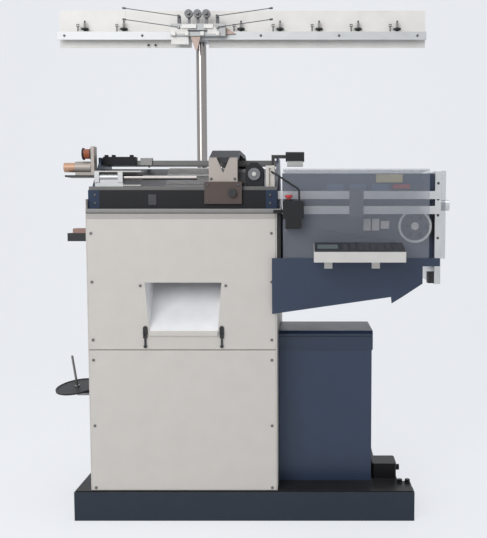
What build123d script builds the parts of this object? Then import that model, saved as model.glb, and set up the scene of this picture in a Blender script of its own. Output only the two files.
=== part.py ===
from build123d import *
import os
from math import cos, radians, sin, sqrt

# Flat knitting machine with two needle beds in a roof shape on a cabinet, a drive arm at the right
# and a yarn rack on a mast. Millimetres, +X right, +Y to the rear, +Z up, origin in the middle of
# the base's underside. A value that ends in _depth is measured from the base's front face to the rear.

# Shared fits
overrun = 5.0
running_clearance = 0.05
slide_clearance = 0.3
sheet = 2.0

# Base
base_toe_length = 47.0
base_depth = 480.0
channel_height = 96.0
channel_flange = 48.0
channel_web = 6.0
channel_flange_wall = 8.0
rear_rail_setback = 105.0
deck_thickness = 4.0
deck_inset = 3.0
toe_depth = 95.0
mains_shelf_depth = 205.0
mains_box_gap = 6.0
mains_box_width = 82.0
mains_box_height = 53.0
mains_box_depth = 85.0
mains_box_corner = 8.0
mains_gland_radius = 10.0
mains_gland_length = 14.0
deck_bolt_radius = 9.0
deck_bolt_height = 10.0
deck_bolt_inset = 10.0
deck_bolt_pitch = 26.0

# Cabinet
cabinet_left_inset = 58.0
cabinet_width = 608.0
cabinet_height = 911.0
cabinet_depth = 449.0
panel_depth = 6.0
panel_return = 18.0
panel_corner = 3.0
panel_gap = 2.0
upper_panel_height = 442.0
side_sheet = 3.0
side_ear_height = 31.0
frame_bar_width = 40.0
frame_bar_wall = 4.0
vent_count = 9
vent_width = 160.0
vent_height = 8.0
vent_pitch = 22.0
vent_rise = 90.0
screw_radius = 4.5
screw_height = 2.5
screw_side_inset = 14.0
screw_end_inset = 32.0
screw_low_inset = 10.0
table_thickness = 15.0
table_overhang = 17.0
table_front_depth = 3.0
table_front_radius = 4.0
table_rear_margin = 3.0

# Outlet chute and the duct above it
outlet_middle_inset = 308.0
outlet_top_width = 248.0
outlet_bottom_width = 222.0
outlet_drop = 223.0
outlet_height = 158.0
chute_reach = 234.0
duct_depth = 150.0
slot_width = 232.0
slot_depth = 30.0
ledge_height = 16.0
ledge_reach = 7.0
blower_radius = 88.0
blower_width = 78.0
blower_side_inset = 150.0
blower_mouth_width = 64.0
blower_mouth_rise = 150.0
blower_motor_radius = 48.0
blower_motor_length = 95.0
blower_foot_height = 24.0
blower_foot_wall = 4.0

# Outlet latches
latch_width = 15.0
latch_plate_height = 33.0
latch_plate_wall = 3.0
latch_gap = 13.0
latch_lug_reach = 7.0
latch_pin_radius = 1.5
latch_lever_length = 30.0
latch_lever_width = 6.0
latch_lever_wall = 3.0
latch_knob_radius = 5.5

# Needle beds
bed_centre_depth = 215.0
bed_angle = 42.0
bed_slope_length = 150.0
bed_thickness = 22.0
bed_rise = 139.0
verge_gap = 10.0
bed_end_inset = 10.0
bracket_width = 45.0
bracket_overhang = 4.0
cheek_wall = 8.0
cheek_foot_depth = 60.0
cheek_shoulder_height = 60.0
cheek_top_height = 174.0
cheek_top_width = 130.0
cheek_top_land = 18.0
bracket_hole_radius = 24.0
needle_count = 54
needle_pitch = 3.63
needle_wall = 1.3
needle_clearance = 0.15
groove_depth = 5.0
needle_stand = 1.2
needle_butt_height = 1.25
needle_butt_length = 7.0
needle_butt_slope = 78.0
needle_reach = 6.0
needle_tail = 22.0
needle_strip_slope = 30.0
needle_strip_width = 10.0
needle_strip_wall = 2.0
needle_zone_inset = 232.0

# Beams and rails of the head
beam_front_depth = 24.0
beam_width = 36.0
beam_height = 60.0
beam_wall = 5.0
carriage_rail_width = 12.0
carriage_rail_height = 12.0
carriage_rail_inset = 10.0
carrier_rail_spacing = 70.0
carrier_rail_width = 6.0
carrier_rail_height = 16.0
carrier_rail_rise = 150.0

# Yarn carrier and gripper
carrier_left_inset = 139.0
carrier_width = 40.0
carrier_wall = 6.0
carrier_crown = 8.0
carrier_arm_wall = 4.0
carrier_drop = 5.0
carrier_tube_radius = 3.0
gripper_left_inset = 12.0
gripper_width = 112.0
gripper_wall = 11.0
gripper_crown = 12.0
gripper_bump_radius = 7.0
gripper_bump_height = 7.0
gripper_bump_shares = (0.08, 0.3, 0.85)

# Carriage
carriage_right_inset = 109.0
carriage_width = 120.0
carriage_skirt_wall = 6.0
carriage_skirt_drop = 57.0
carriage_saddle_wall = 14.0
carriage_lip_wall = 8.0
carriage_lip_drop = 9.0
carriage_saddle_reach = 110.0
cam_plate_gap = 3.0
cam_plate_wall = 18.0
cam_plate_start = 45.0
cam_plate_length = 80.0
cam_knob_radius = 14.0
cam_knob_length = 12.0
cam_knob_inset = 30.0
cam_knob_drop = 36.0
bridge_inset = 14.0
bridge_wall = 12.0
bridge_leg_height = 74.0
bridge_crown_height = 94.0
bridge_crown_wall = 14.0
bridge_crown_inset = 96.0
bridge_notch_width = 44.0
bridge_notch_height = 46.0
bridge_window_width = 50.0

# Air cylinder at the front left
cylinder_left_inset = 18.0
cylinder_length = 92.0
cylinder_radius = 15.0
cylinder_head = 34.0
cylinder_head_length = 16.0
cylinder_rise = 42.0
cylinder_bore_depth = 64.0
cylinder_foot_width = 13.0
cylinder_plate_length = 60.0
cylinder_plate_wall = 4.0
rod_radius = 8.0
rod_length = 268.0
rod_stroke = 30.0

# Actuators at the left end
shelf_reach = 92.0
shelf_depth = 70.0
shelf_wall = 6.0
shelf_rise = 105.0
shelf_front_depth = 80.0
motor_radius = 20.0
motor_length = 54.0
motor_cap_radius = 16.0
motor_cap_length = 38.0
motor_inset = 6.0
motor_axis_rise = 27.0
motor_cradle_width = 24.0
coil_radius = 15.0
coil_length = 30.0
coil_flange_radius = 20.0
coil_flange_wall = 4.0
coil_rise = 72.0
coil_plate_wall = 5.0
coil_plate_width = 34.0
coil_plate_height = 96.0

# Selector housing and carrier drive block
selector_right_inset = 42.0
selector_width = 58.0
selector_depth = 58.0
selector_height = 76.0
selector_bevel = 18.0
selector_foot_height = 14.0
selector_foot_width = 12.0
selector_boss_radius = 20.0
selector_boss_length = 8.0
drive_block_gap = 8.0
drive_block_width = 29.0
drive_block_depth = 46.0
drive_block_height = 66.0
drive_block_slot = 8.0

# Work lamp and its cable
lamp_arm_wall = 10.0
lamp_arm_depth = 20.0
lamp_arm_rise = 34.0
lamp_arm_reach = 36.0
lamp_pin_radius = 3.0
lamp_pin_length = 9.0
lamp_width = 60.0
lamp_depth = 46.0
lamp_height = 29.0
lamp_corner = 6.0
lamp_pivot_drop = 14.0
lens_height = 16.0
lens_inset = 4.0
lens_taper = 6.0
cable_radius = 3.0
cable_bend = 18.0
cable_fall = 24.0

# Switch box and emergency stop
switch_left_gap = 8.0
switch_width = 66.0
switch_depth = 40.0
switch_height = 56.0
switch_tail_height = 32.0
switch_tail_inset = 8.0
switch_back_depth = -12.0
switch_rise = 24.0
switch_lug_width = 24.0
stop_inset = 18.0
stop_collar_radius = 13.0
stop_collar_height = 5.0
stop_stem_radius = 7.0
stop_head_radius = 12.0
stop_head_height = 8.0
stop_gap = 6.0
stop_bore_depth = 20.0
stop_travel = 4.0

# Drive arm at the right
arm_left_gap = 12.0
arm_front_depth = -10.0
arm_rear_depth = 330.0
arm_length = 538.0
arm_top_drop = 158.0
arm_left_drop = 338.0
arm_slope_length = 382.0
arm_slope_rise = 55.0
arm_tooth_drop = 21.0
arm_tooth_width = 36.0
arm_tip_length = 483.0
arm_tip_rise = 98.0
arm_step_rise = 154.0
cover_left_gap = 24.0
cover_length = 467.0
cover_wall = 4.0
cover_lap = 6.0
cover_rise = 127.0
cover_bend = 10.0
end_plate_wall = 20.0
end_plate_front_depth = 72.0
end_plate_drop = 249.0
end_plate_rise = 125.0
end_cap_wall = 15.0
end_cap_drop = 164.0
end_boss_radius = 18.0
end_boss_length = 30.0
end_boss_rise = 12.0
end_boss_depth = 100.0
bar_depth = 60.0
bar_wall = 12.0
bar_height = 26.0
bar_upper_rise = 32.0
bar_lower_drop = 17.0
bar_lap = 14.0
back_plate_depth = 122.0
back_plate_wall = 4.0
terminal_width = 56.0
terminal_height = 30.0
terminal_reach = 16.0
terminal_count = 3
terminal_pitch = 74.0
terminal_inset = 150.0
limit_switch_width = 20.0
limit_switch_height = 40.0
limit_switch_depth = 36.0

# Belt drive
wheel_radius = 56.0
wheel_side_gap = 2.0
wheel_drop = 57.0
wheel_width = 20.0
wheel_depth = 93.0
wheel_rim = 8.0
wheel_web = 8.0
wheel_hub_radius = 13.0
wheel_hole_radius = 9.0
wheel_hole_circle = 33.0
wheel_hole_count = 6
shaft_radius = 7.0
shaft_insert = 28.0
shaft_hole_radius = 18.0
idler_radius = 25.0
idler_inset = 34.0
idler_pin_radius = 6.0
idler_pin_cap_radius = 9.0
idler_pin_cap_wall = 3.0
belt_wall = 4.0
belt_gap = 0.3
belt_width = 16.0
drive_motor_radius = 46.0
drive_motor_length = 150.0
drive_motor_margin = 9.0
drive_motor_flange_wall = 10.0
link_rod_radius = 6.0
link_rod_depth = 84.0
link_rod_rise = 46.0
link_lug_length = 20.0
link_lug_width = 16.0
link_rod_gap = 2.0
slider_left_reach = 348.0
slider_width = 46.0
slider_wall = 8.0
slider_top_wall = 10.0
slider_back = 16.0
jaw_width = 14.0
jaw_height = 12.0

# Operation panel
op_left_gap = 134.0
op_width = 281.0
op_depth = 100.0
op_front_height = 32.0
op_rear_height = 55.0
op_gap = 12.0
op_drop = 165.0
op_wall = 3.0
op_face_wall = 3.0
op_face_margin = 1.5
op_tab_width = 26.0
op_tab_drop = 26.0
op_tab_wall = 3.0
op_tab_reach = 50.0
op_tab_shares = (0.12, 0.66)
op_screen_inset = 12.0
op_screen_width = 62.0
op_screen_depth = 40.0
op_screen_raise = 1.5
op_key_width = 13.0
op_key_depth = 10.0
op_key_raise = 1.2
op_key_columns = 7
op_key_rows = 4
op_key_pitch_x = 24.0
op_key_pitch_y = 18.0
op_key_inset = 92.0

# Control box
box_front_depth = 100.0
box_depth = 230.0
box_width = 316.0
box_arm_gap = 72.0
lid_height = 64.0
lid_band_height = 44.0
lid_groove = 4.0
lid_bevel = 10.0
lid_overhang = 3.0
chassis_gap = 24.0
chassis_wall = 3.0
chassis_margin = 26.0
unit_width = 90.0
unit_height = 120.0
unit_reach = 70.0
unit_top_gap = 74.0
unit_fin_count = 4
unit_fin_depth = 12.0
transformer_width = 110.0
transformer_height = 95.0

# Mast and yarn rack
mast_radius = 19.0
mast_wall = 2.5
mast_inset = 310.0
mast_gap = 4.0
mast_height = 676.0
mast_foot_radius = 24.0
mast_foot_height = 14.0
rack_left_reach = 523.0
rack_length = 1359.0
rack_face_height = 30.0
rack_flange = 30.0
rack_wall = 3.0
rack_drop = 22.0
rack_clamp_width = 64.0
rack_clamp_wall = 7.0
board_height = 135.0
board_drop = 52.0
board_wall = 2.0
seam_inset = 223.0
seam_width = 24.0
seam_wall = 1.5
post_pitch = 144.2
post_first_inset = 99.5
post_slots = (0, 1, 4, 5, 6, 7, 8)
post_radius = 3.0
post_height = 42.0
post_disc_radius = 14.0
post_disc_height = 5.0
post_disc_rise = 9.0
post_nut_radius = 6.0
post_setback = 14.0
eye_offset = 26.0
eye_radius = 2.0
eye_height = 20.0
eye_tab_width = 10.0
eye_tab_height = 10.0
eye_tab_wall = 2.0
eye_hole_radius = 3.0
head_width = 200.0
head_height = 44.0
head_depth = 34.0
head_rise = 8.0
head_clamp_wall = 10.0
head_block_width = 26.0
head_block_height = 14.0
head_block_shares = (0.06, 0.3, 0.58, 0.86)
lever_pin_radius = 2.5
lever_pin_length = 8.0
lever_hub_radius = 5.0
lever_hub_width = 6.0
lever_wire_radius = 1.5
lever_tip_radius = 3.5
lever_tip_length = 12.0
lever_length = 205.0
lever_row_pitch = 40.0
lever_row_rise = 30.0
lever_pivot_inset = 30.0
lever_angle = 8.0

# Cone holder and side switch at the left
cone_rise = 299.0
cone_depth = 200.0
cone_reach = 100.0
cone_radius = 74.0
cone_wall = 4.0
cone_rim_height = 6.0
cone_left_angle = 5.5
cone_front_angle = 8.0
cone_hub_radius = 12.0
cone_hub_height = 10.0
cone_collar_radius = 9.0
cone_collar_height = 8.0
spindle_radius = 4.0
spindle_height = 118.0
cone_arm_radius = 8.0
cone_foot_radius = 22.0
cone_foot_wall = 6.0
cone_arm_drop = 20.0
side_switch_depth = 86.0
side_switch_reach = 85.0
side_switch_width = 40.0
side_switch_height = 27.0
side_switch_drop = 92.0
side_cap_inset = 18.0
side_cap_height = 16.0
side_cap_corner = 5.0

# Places that follow from the sizes above
front_y = -base_depth / 2
rear_y = base_depth / 2
cabinet_reach = cabinet_left_inset + cabinet_width + side_sheet
base_width = cabinet_reach + box_width + mains_box_gap + mains_box_width + base_toe_length
left_x = -base_width / 2
right_x = base_width / 2
rear_rail_end = right_x - rear_rail_setback
deck_top = channel_height + deck_thickness
cabinet_left = left_x + cabinet_left_inset
cabinet_right = cabinet_left + cabinet_width
panel_y = front_y + panel_depth
frame_y = panel_y + panel_return
cabinet_rear = panel_y + cabinet_depth
table_under = deck_top + cabinet_height
table_top = table_under + table_thickness
table_right = cabinet_right + table_overhang
split_z = table_under - upper_panel_height
outlet_x = cabinet_left + outlet_middle_inset
outlet_top = table_under - outlet_drop
outlet_bottom = outlet_top - outlet_height
bed_y = front_y + bed_centre_depth
verge_z = table_top + bed_rise
bed_left = cabinet_left + bed_end_inset
bed_right = cabinet_right - bed_end_inset + bracket_overhang + sheet
slope_cos = cos(radians(bed_angle))
slope_sin = sin(radians(bed_angle))
beam_y = front_y + beam_front_depth
beam_top = table_top + beam_height
rail_y = beam_y + carriage_rail_inset
rail_top = beam_top + carriage_rail_height
carrier_rail_z = table_top + carrier_rail_rise
carrier_rail_y = bed_y - carrier_rail_spacing / 2
carriage_right = cabinet_right - carriage_right_inset
carriage_left = carriage_right - carriage_width
skirt_y = beam_y - 2 * carriage_skirt_wall
carriage_rear = 2 * bed_y - skirt_y
saddle_z = rail_top + slide_clearance
saddle_top = saddle_z + carriage_saddle_wall
arm_left = cabinet_right - arm_left_gap
arm_right = arm_left + arm_length
arm_y = front_y + arm_front_depth
arm_rear = front_y + arm_rear_depth
arm_top = table_top - arm_top_drop
end_plate_x = arm_right - bracket_overhang
cover_top = table_top + cover_rise
belt_radius = wheel_radius + belt_gap + belt_wall
drive_motor_half = drive_motor_radius + drive_motor_margin
wheel_x = end_plate_x - wheel_side_gap - max(belt_radius, drive_motor_half)
wheel_z = table_top - wheel_drop
wheel_y = front_y + wheel_depth
belt_z = wheel_z + wheel_radius + belt_gap
idler_x = table_right + idler_inset
idler_z = wheel_z + wheel_radius - idler_radius
link_y = front_y + link_rod_depth
link_z = table_top + link_rod_rise
slider_x = carriage_right + slider_left_reach
bar_y = front_y + bar_depth
bar_upper_z = table_top + bar_upper_rise
bar_lower_z = table_top - bar_lower_drop
box_left = cabinet_right + side_sheet
box_y = front_y + box_front_depth
box_height = table_top - arm_left_drop - box_arm_gap - lid_height - deck_top
mains_left = box_left + box_width + mains_box_gap
mains_right = mains_left + mains_box_width
mast_x = cabinet_left + mast_inset
mast_y = carriage_rear + mast_gap + mast_foot_radius
table_rear = max(cabinet_rear, mast_y + mast_foot_radius + table_rear_margin)
mast_top = table_top + mast_height
rack_left = mast_x - rack_left_reach
rack_right = rack_left + rack_length
rack_top = mast_top - rack_drop
rack_y = mast_y - mast_radius - rack_flange
cone_x = cabinet_left - side_sheet - cone_reach
cone_y = front_y + cone_depth
cone_z = deck_top + cone_rise


def block(x0, x1, y0, y1, z0, z1):
    """Box between two corners."""
    return Pos((x0 + x1) / 2, (y0 + y1) / 2, (z0 + z1) / 2) * Box(x1 - x0, y1 - y0, z1 - z0)


def prism_x(outline, x0, x1):
    """Outline of (y, z) points carried from x0 to x1."""
    face = make_face(Polyline(*[(x0, y, z) for y, z in outline], close=True))
    return extrude(face, amount=x1 - x0, dir=(1, 0, 0))


def prism_y(outline, y0, y1):
    """Outline of (x, z) points carried from y0 to y1."""
    face = make_face(Polyline(*[(x, y0, z) for x, z in outline], close=True))
    return extrude(face, amount=y1 - y0, dir=(0, 1, 0))


def prism_z(outline, z0, z1):
    """Outline of (x, y) points carried from z0 to z1."""
    face = make_face(Polyline(*[(x, y, z0) for x, y in outline], close=True))
    return extrude(face, amount=z1 - z0, dir=(0, 0, 1))


def round_x(x0, x1, y, z, radius):
    """Cylinder along X."""
    return Pos((x0 + x1) / 2, y, z) * Rot(0, 90, 0) * Cylinder(radius, x1 - x0)


def round_y(x, y0, y1, z, radius):
    """Cylinder along Y."""
    return Pos(x, (y0 + y1) / 2, z) * Rot(90, 0, 0) * Cylinder(radius, y1 - y0)


def round_z(x, y, z0, z1, radius):
    """Cylinder along Z."""
    return Pos(x, y, (z0 + z1) / 2) * Cylinder(radius, z1 - z0)


def to_rear(piece):
    """Mirror image of a front piece of the head on its rear half."""
    return mirror(piece, about=Plane.XZ.offset(-bed_y))


def make_base_frame():
    """Welded frame of channel steel with an end cap on the long front rail."""
    rail = [
        (front_y, 0),
        (front_y + channel_flange, 0),
        (front_y + channel_flange, channel_flange_wall),
        (front_y + channel_web, channel_flange_wall),
        (front_y + channel_web, channel_height - channel_flange_wall),
        (front_y + channel_flange, channel_height - channel_flange_wall),
        (front_y + channel_flange, channel_height),
        (front_y, channel_height),
    ]
    frame = prism_x(rail, left_x, right_x)
    frame += prism_x([(-y, z) for y, z in rail], left_x, rear_rail_end)
    cap = block(right_x - channel_web, right_x, front_y, front_y + channel_flange, 0, channel_height)
    cross = [(y - front_y, z) for y, z in rail]
    for x, side in ((left_x, 1), (cabinet_right, -1), (rear_rail_end, -1)):
        frame += prism_y([(x + side * across, z) for across, z in cross], front_y, rear_y)
    return frame + cap


def make_base_deck():
    """Black deck plate with the mains box welded on its shelf and two hex bolts on its toe."""
    x0 = left_x + deck_inset
    x1 = right_x - deck_inset
    shelf_x = mains_right + deck_inset
    y0 = front_y + deck_inset
    outline = [
        (x0, y0),
        (x1, y0),
        (x1, front_y + toe_depth),
        (shelf_x, front_y + toe_depth),
        (shelf_x, front_y + mains_shelf_depth),
        (rear_rail_end, front_y + mains_shelf_depth),
        (rear_rail_end, rear_y - deck_inset),
        (x0, rear_y - deck_inset),
    ]
    deck = prism_z(outline, channel_height, deck_top)
    bolt_y = front_y + toe_depth - deck_bolt_inset
    for place in range(2):
        bolt = extrude(RegularPolygon(deck_bolt_radius, 6), amount=deck_bolt_height)
        deck += Pos(x1 - deck_bolt_inset - place * deck_bolt_pitch, bolt_y, deck_top) * bolt
    return deck + make_mains_box()


def make_mains_box():
    """Low black box on the deck's shelf with a cable gland at its right end."""
    y1 = front_y + mains_shelf_depth - deck_inset
    y0 = y1 - mains_box_depth
    shape = block(mains_left, mains_right, y0, y1, deck_top, deck_top + mains_box_height)
    shape = fillet(shape.edges().filter_by(Axis.Z), mains_box_corner)
    gland_z = deck_top + mains_box_height / 2
    gland_end = mains_right + mains_gland_length
    return shape + round_x(mains_right, gland_end, (y0 + y1) / 2, gland_z, mains_gland_radius)


def make_cabinet_frame():
    """Corner posts of two flat bars each, tied by flat bars at three heights."""
    bars = []
    left = (cabinet_left, cabinet_left + frame_bar_wall, cabinet_left + frame_bar_width)
    right = (cabinet_right - frame_bar_wall, cabinet_right, cabinet_right - frame_bar_width)
    front = (frame_y, frame_y + frame_bar_wall, frame_y + frame_bar_width)
    rear = (cabinet_rear - frame_bar_wall, cabinet_rear, cabinet_rear - frame_bar_width)
    heights = (deck_top, split_z - frame_bar_width / 2, table_under - frame_bar_width)
    for y0, y1, inner_y in (front, rear):
        for x0, x1, inner_x in (left, right):
            bars.append(block(min(x0, inner_x), max(x1, inner_x), y0, y1, deck_top, table_under))
            leg_start = y1 if inner_y > y1 else inner_y
            leg_end = inner_y if inner_y > y1 else y0
            bars.append(block(x0, x1, leg_start, leg_end, deck_top, table_under))
        for z in heights:
            bars.append(block(left[2], right[2], y0, y1, z, z + frame_bar_width))
    for x0, x1, inner_x in (left, right):
        for z in heights:
            bars.append(block(x0, x1, front[2], rear[2], z, z + frame_bar_width))
    return Compound(children=bars)


def make_cabinet_panels():
    """Two side sheets, the left one with an ear above the table, and a vented rear sheet."""
    y0 = panel_y + sheet
    ear_z = table_top + side_ear_height
    left = block(cabinet_left - side_sheet, cabinet_left, y0, cabinet_rear + sheet, deck_top, ear_z)
    right_top = table_under
    right = block(cabinet_right, cabinet_right + side_sheet, y0, cabinet_rear + sheet, deck_top, right_top)
    rear = block(cabinet_left, cabinet_right, cabinet_rear, cabinet_rear + sheet, deck_top, table_under)
    vent_x = (cabinet_left + cabinet_right) / 2
    for place in range(vent_count):
        z = deck_top + vent_rise + place * vent_pitch
        rear -= block(
            vent_x - vent_width / 2,
            vent_x + vent_width / 2,
            cabinet_rear - overrun,
            cabinet_rear + sheet + overrun,
            z,
            z + vent_height,
        )
    return Compound(children=[left, right, rear])


def outlet_outline(margin, z0, z1):
    """Trapezoid of the outlet between two heights, widened by a margin."""
    lean = (outlet_top_width - outlet_bottom_width) / 2 / outlet_height
    low = outlet_bottom_width / 2 + margin + lean * (z0 - outlet_bottom)
    high = outlet_bottom_width / 2 + margin + lean * (z1 - outlet_bottom)
    return [(outlet_x - low, z0), (outlet_x + low, z0), (outlet_x + high, z1), (outlet_x - high, z1)]


def make_panel(z0, z1):
    """Folded front panel with rounded front edges and returns behind."""
    outer = block(cabinet_left, cabinet_right, panel_y, frame_y, z0, z1)
    outer = fillet(outer.faces().sort_by(Axis.Y)[0].edges(), panel_corner)
    inner = block(
        cabinet_left + sheet,
        cabinet_right - sheet,
        panel_y + sheet,
        frame_y + overrun,
        z0 + sheet,
        z1 - sheet,
    )
    return outer - inner


def make_upper_front_panel():
    """Upper front panel with the outlet cut through it and a ledge under the outlet."""
    panel = make_panel(split_z, table_under)
    panel -= prism_y(outlet_outline(0, outlet_bottom, outlet_top), panel_y - overrun, panel_y + sheet + overrun)
    half = outlet_bottom_width / 2
    ledge_y = panel_y - ledge_reach
    ledge = block(outlet_x - half, outlet_x + half, ledge_y, panel_y, outlet_bottom - ledge_height, outlet_bottom)
    ledge = fillet(ledge.faces().sort_by(Axis.Y)[0].edges().filter_by(Axis.X), panel_corner)
    return panel + ledge


def make_lower_front_panel():
    """Lower front panel, plain."""
    return make_panel(deck_top, split_z - panel_gap)


def make_panel_screws():
    """Screw heads of both front panels and of the chute's two top corners."""
    places = []
    upper = (split_z + screw_end_inset, (split_z + table_under) / 2, table_under - 2 * screw_end_inset)
    lower_top = split_z - panel_gap - screw_end_inset
    lower = (deck_top + screw_low_inset, (deck_top + lower_top) / 2, lower_top)
    for x in (cabinet_left + screw_side_inset, cabinet_right - screw_side_inset):
        for z in upper + lower:
            places.append((x, z))
    for side in (-1, 1):
        across = outlet_top_width / 2 + screw_side_inset
        places.append((outlet_x + side * across, outlet_top - screw_low_inset))
    return Compound(children=[round_y(x, panel_y - screw_height, panel_y, z, screw_radius) for x, z in places])


def make_table_plate():
    """Table with a rounded front edge and a slot under the gap of the needle beds."""
    table = block(cabinet_left, table_right, front_y + table_front_depth, table_rear, table_under, table_top)
    table = fillet(table.faces().sort_by(Axis.Y)[0].edges().filter_by(Axis.X), table_front_radius)
    half = slot_width / 2
    slot_y0 = bed_y - slot_depth / 2
    slot_y1 = bed_y + slot_depth / 2
    return table - block(outlet_x - half, outlet_x + half, slot_y0, slot_y1, table_under - overrun, table_top + overrun)


def make_glove_chute():
    """Sheet chute that slopes at 45 degrees to the outlet, with the duct from the table above it."""
    front = panel_y + sheet
    back = front + chute_reach
    duct_front = back - duct_depth
    low = outlet_bottom - sheet
    high = low + chute_reach
    roof = outlet_top + sheet
    fall = sheet * sqrt(2)
    outer = prism_x([(front, low), (back, high), (duct_front, high), (duct_front, roof), (front, roof)],
                    outlet_x - outlet_top_width, outlet_x + outlet_top_width)
    outer &= prism_y(outlet_outline(sheet, low, high + overrun), front, back)
    inner = prism_x(
        [
            (front - overrun, low + fall - overrun),
            (back - sheet, high + fall - sheet),
            (back - sheet, high + overrun),
            (duct_front + sheet, high + overrun),
            (duct_front + sheet, outlet_top),
            (front - overrun, outlet_top),
        ],
        outlet_x - outlet_top_width,
        outlet_x + outlet_top_width,
    )
    inner &= prism_y(outlet_outline(0, low - overrun, high + overrun), front - overrun, back)
    half = slot_width / 2 + sheet
    duct = block(outlet_x - half, outlet_x + half, duct_front, back, high, table_under)
    hollow = block(
        outlet_x - half + sheet,
        outlet_x + half - sheet,
        duct_front + sheet,
        back - sheet,
        high - overrun,
        table_under + overrun,
    )
    return (outer - inner) + (duct - hollow)


def make_suction_blower():
    """Blower scroll on feet, its mouth pointing up and its motor at the rear."""
    x = cabinet_left + blower_side_inset
    y0 = bed_y - blower_width / 2
    y1 = bed_y + blower_width / 2
    z = deck_top + blower_foot_height + blower_radius
    body = round_y(x, y0, y1, z, blower_radius)
    body += block(x - blower_radius, x - blower_radius + blower_mouth_width, y0, y1, z, z + blower_mouth_rise)
    mouth = block(
        x - blower_radius + sheet,
        x - blower_radius + blower_mouth_width - sheet,
        y0 + sheet,
        y1 - sheet,
        z + blower_radius,
        z + blower_mouth_rise + overrun,
    )
    body -= mouth
    body += round_y(x, y1, y1 + blower_motor_length, z, blower_motor_radius)
    for side in (-1, 1):
        foot_x = x + side * blower_radius / 2
        body += block(foot_x - blower_foot_wall, foot_x + blower_foot_wall, y0, y1, deck_top, z)
    return body


def latch_places():
    """Middle of each outlet latch across the front."""
    across = outlet_bottom_width / 2 + latch_gap
    return (outlet_x - across, outlet_x + across)


def make_latch_keepers():
    """Rounded plates beside the outlet, each with two lugs and a pin for its lever."""
    keepers = []
    z0 = outlet_bottom - ledge_height
    pin_z = z0 - latch_lever_wall - slide_clearance
    pin_y = panel_y - latch_lug_reach / 2
    for x in latch_places():
        plate = Pos(x, panel_y, z0 + latch_plate_height / 2) * Rot(90, 0, 0) * extrude(
            RectangleRounded(latch_width, latch_plate_height, latch_width / 2 - running_clearance),
            amount=latch_plate_wall,
        )
        for side in (-1, 1):
            inside = x + side * (latch_lever_width / 2 + slide_clearance)
            outside = inside + side * latch_lever_wall
            lug = block(
                min(inside, outside),
                max(inside, outside),
                panel_y - latch_lug_reach,
                panel_y,
                pin_z - 2 * latch_pin_radius,
                z0 + latch_plate_height / 2,
            )
            plate += lug
        pin_half = latch_lever_width / 2 + slide_clearance + latch_lever_wall
        plate += round_x(x - pin_half, x + pin_half, pin_y, pin_z, latch_pin_radius)
        keepers.append(plate)
    return Compound(children=keepers)


def make_latch_lever(x):
    """Lever on the keeper's pin with a round finger knob at its free end."""
    z0 = outlet_bottom - ledge_height
    pin_z = z0 - latch_lever_wall - slide_clearance
    pin_y = panel_y - latch_lug_reach / 2
    half = latch_lever_width / 2
    lever = round_x(x - half, x + half, pin_y, pin_z, latch_lever_wall)
    lever += block(
        x - half,
        x + half,
        pin_y - latch_lever_wall / 2,
        pin_y + latch_lever_wall / 2,
        pin_z - latch_lever_length,
        pin_z,
    )
    knob_z = pin_z - latch_lever_length
    lever += round_y(x, pin_y - latch_lever_wall, pin_y + latch_lever_wall / 2, knob_z, latch_knob_radius)
    return lever - round_x(x - half - overrun, x + half + overrun, pin_y, pin_z, latch_pin_radius + running_clearance)


def slope_point(along, above):
    """Point (y, z) on the front bed: along the slope from the verge and above its surface."""
    y = bed_y - verge_gap - along * slope_cos - above * slope_sin
    z = verge_z - along * slope_sin + above * slope_cos
    return (y, z)


def bed_under_line():
    """Lower and upper end (y, z) of the front bed's underside."""
    low = slope_point(bed_slope_length, -bed_thickness)
    high = (bed_y - verge_gap, verge_z - bed_thickness / slope_cos)
    return low, high


def needle_places():
    """Middle of each needle along the bed."""
    start = cabinet_left + needle_zone_inset
    return [start + place * needle_pitch for place in range(needle_count)]


def make_front_bed():
    """Sloping bed with a groove for every needle and one for the strip that holds them down."""
    low, high = bed_under_line()
    outline = [slope_point(0, 0), slope_point(bed_slope_length, 0), low, high]
    bed = prism_x(outline, bed_left, bed_right)
    groove = [
        slope_point(-overrun, overrun),
        slope_point(bed_slope_length - needle_tail, overrun),
        slope_point(bed_slope_length - needle_tail, -groove_depth),
        slope_point(-overrun, -groove_depth),
    ]
    half = needle_wall / 2 + needle_clearance
    grooves = [prism_x(groove, x - half, x + half) for x in needle_places()]
    return bed - grooves


def make_front_needles():
    """Latch needles with their butts, tied by the strip that holds them in the bed."""
    end = bed_slope_length - needle_tail - needle_clearance
    floor = -groove_depth + needle_clearance
    top = needle_stand
    butt_end = needle_butt_slope + needle_butt_length
    outline = [
        slope_point(-needle_reach, floor),
        slope_point(-needle_reach, top),
        slope_point(needle_butt_slope, top),
        slope_point(needle_butt_slope, top + needle_butt_height),
        slope_point(butt_end, top + needle_butt_height),
        slope_point(butt_end, top),
        slope_point(end, top),
        slope_point(end, floor),
    ]
    places = needle_places()
    strip_end = needle_strip_slope + needle_strip_width
    strip = [
        slope_point(needle_strip_slope, 0),
        slope_point(strip_end, 0),
        slope_point(strip_end, needle_strip_wall),
        slope_point(needle_strip_slope, needle_strip_wall),
    ]
    comb = prism_x(strip, places[0] - needle_pitch, places[-1] + needle_pitch)
    return comb + [prism_x(outline, x - needle_wall / 2, x + needle_wall / 2) for x in places]


def make_needles():
    """Front and rear needle rows."""
    front = make_front_needles()
    return Compound(children=[front, to_rear(front)])


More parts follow.
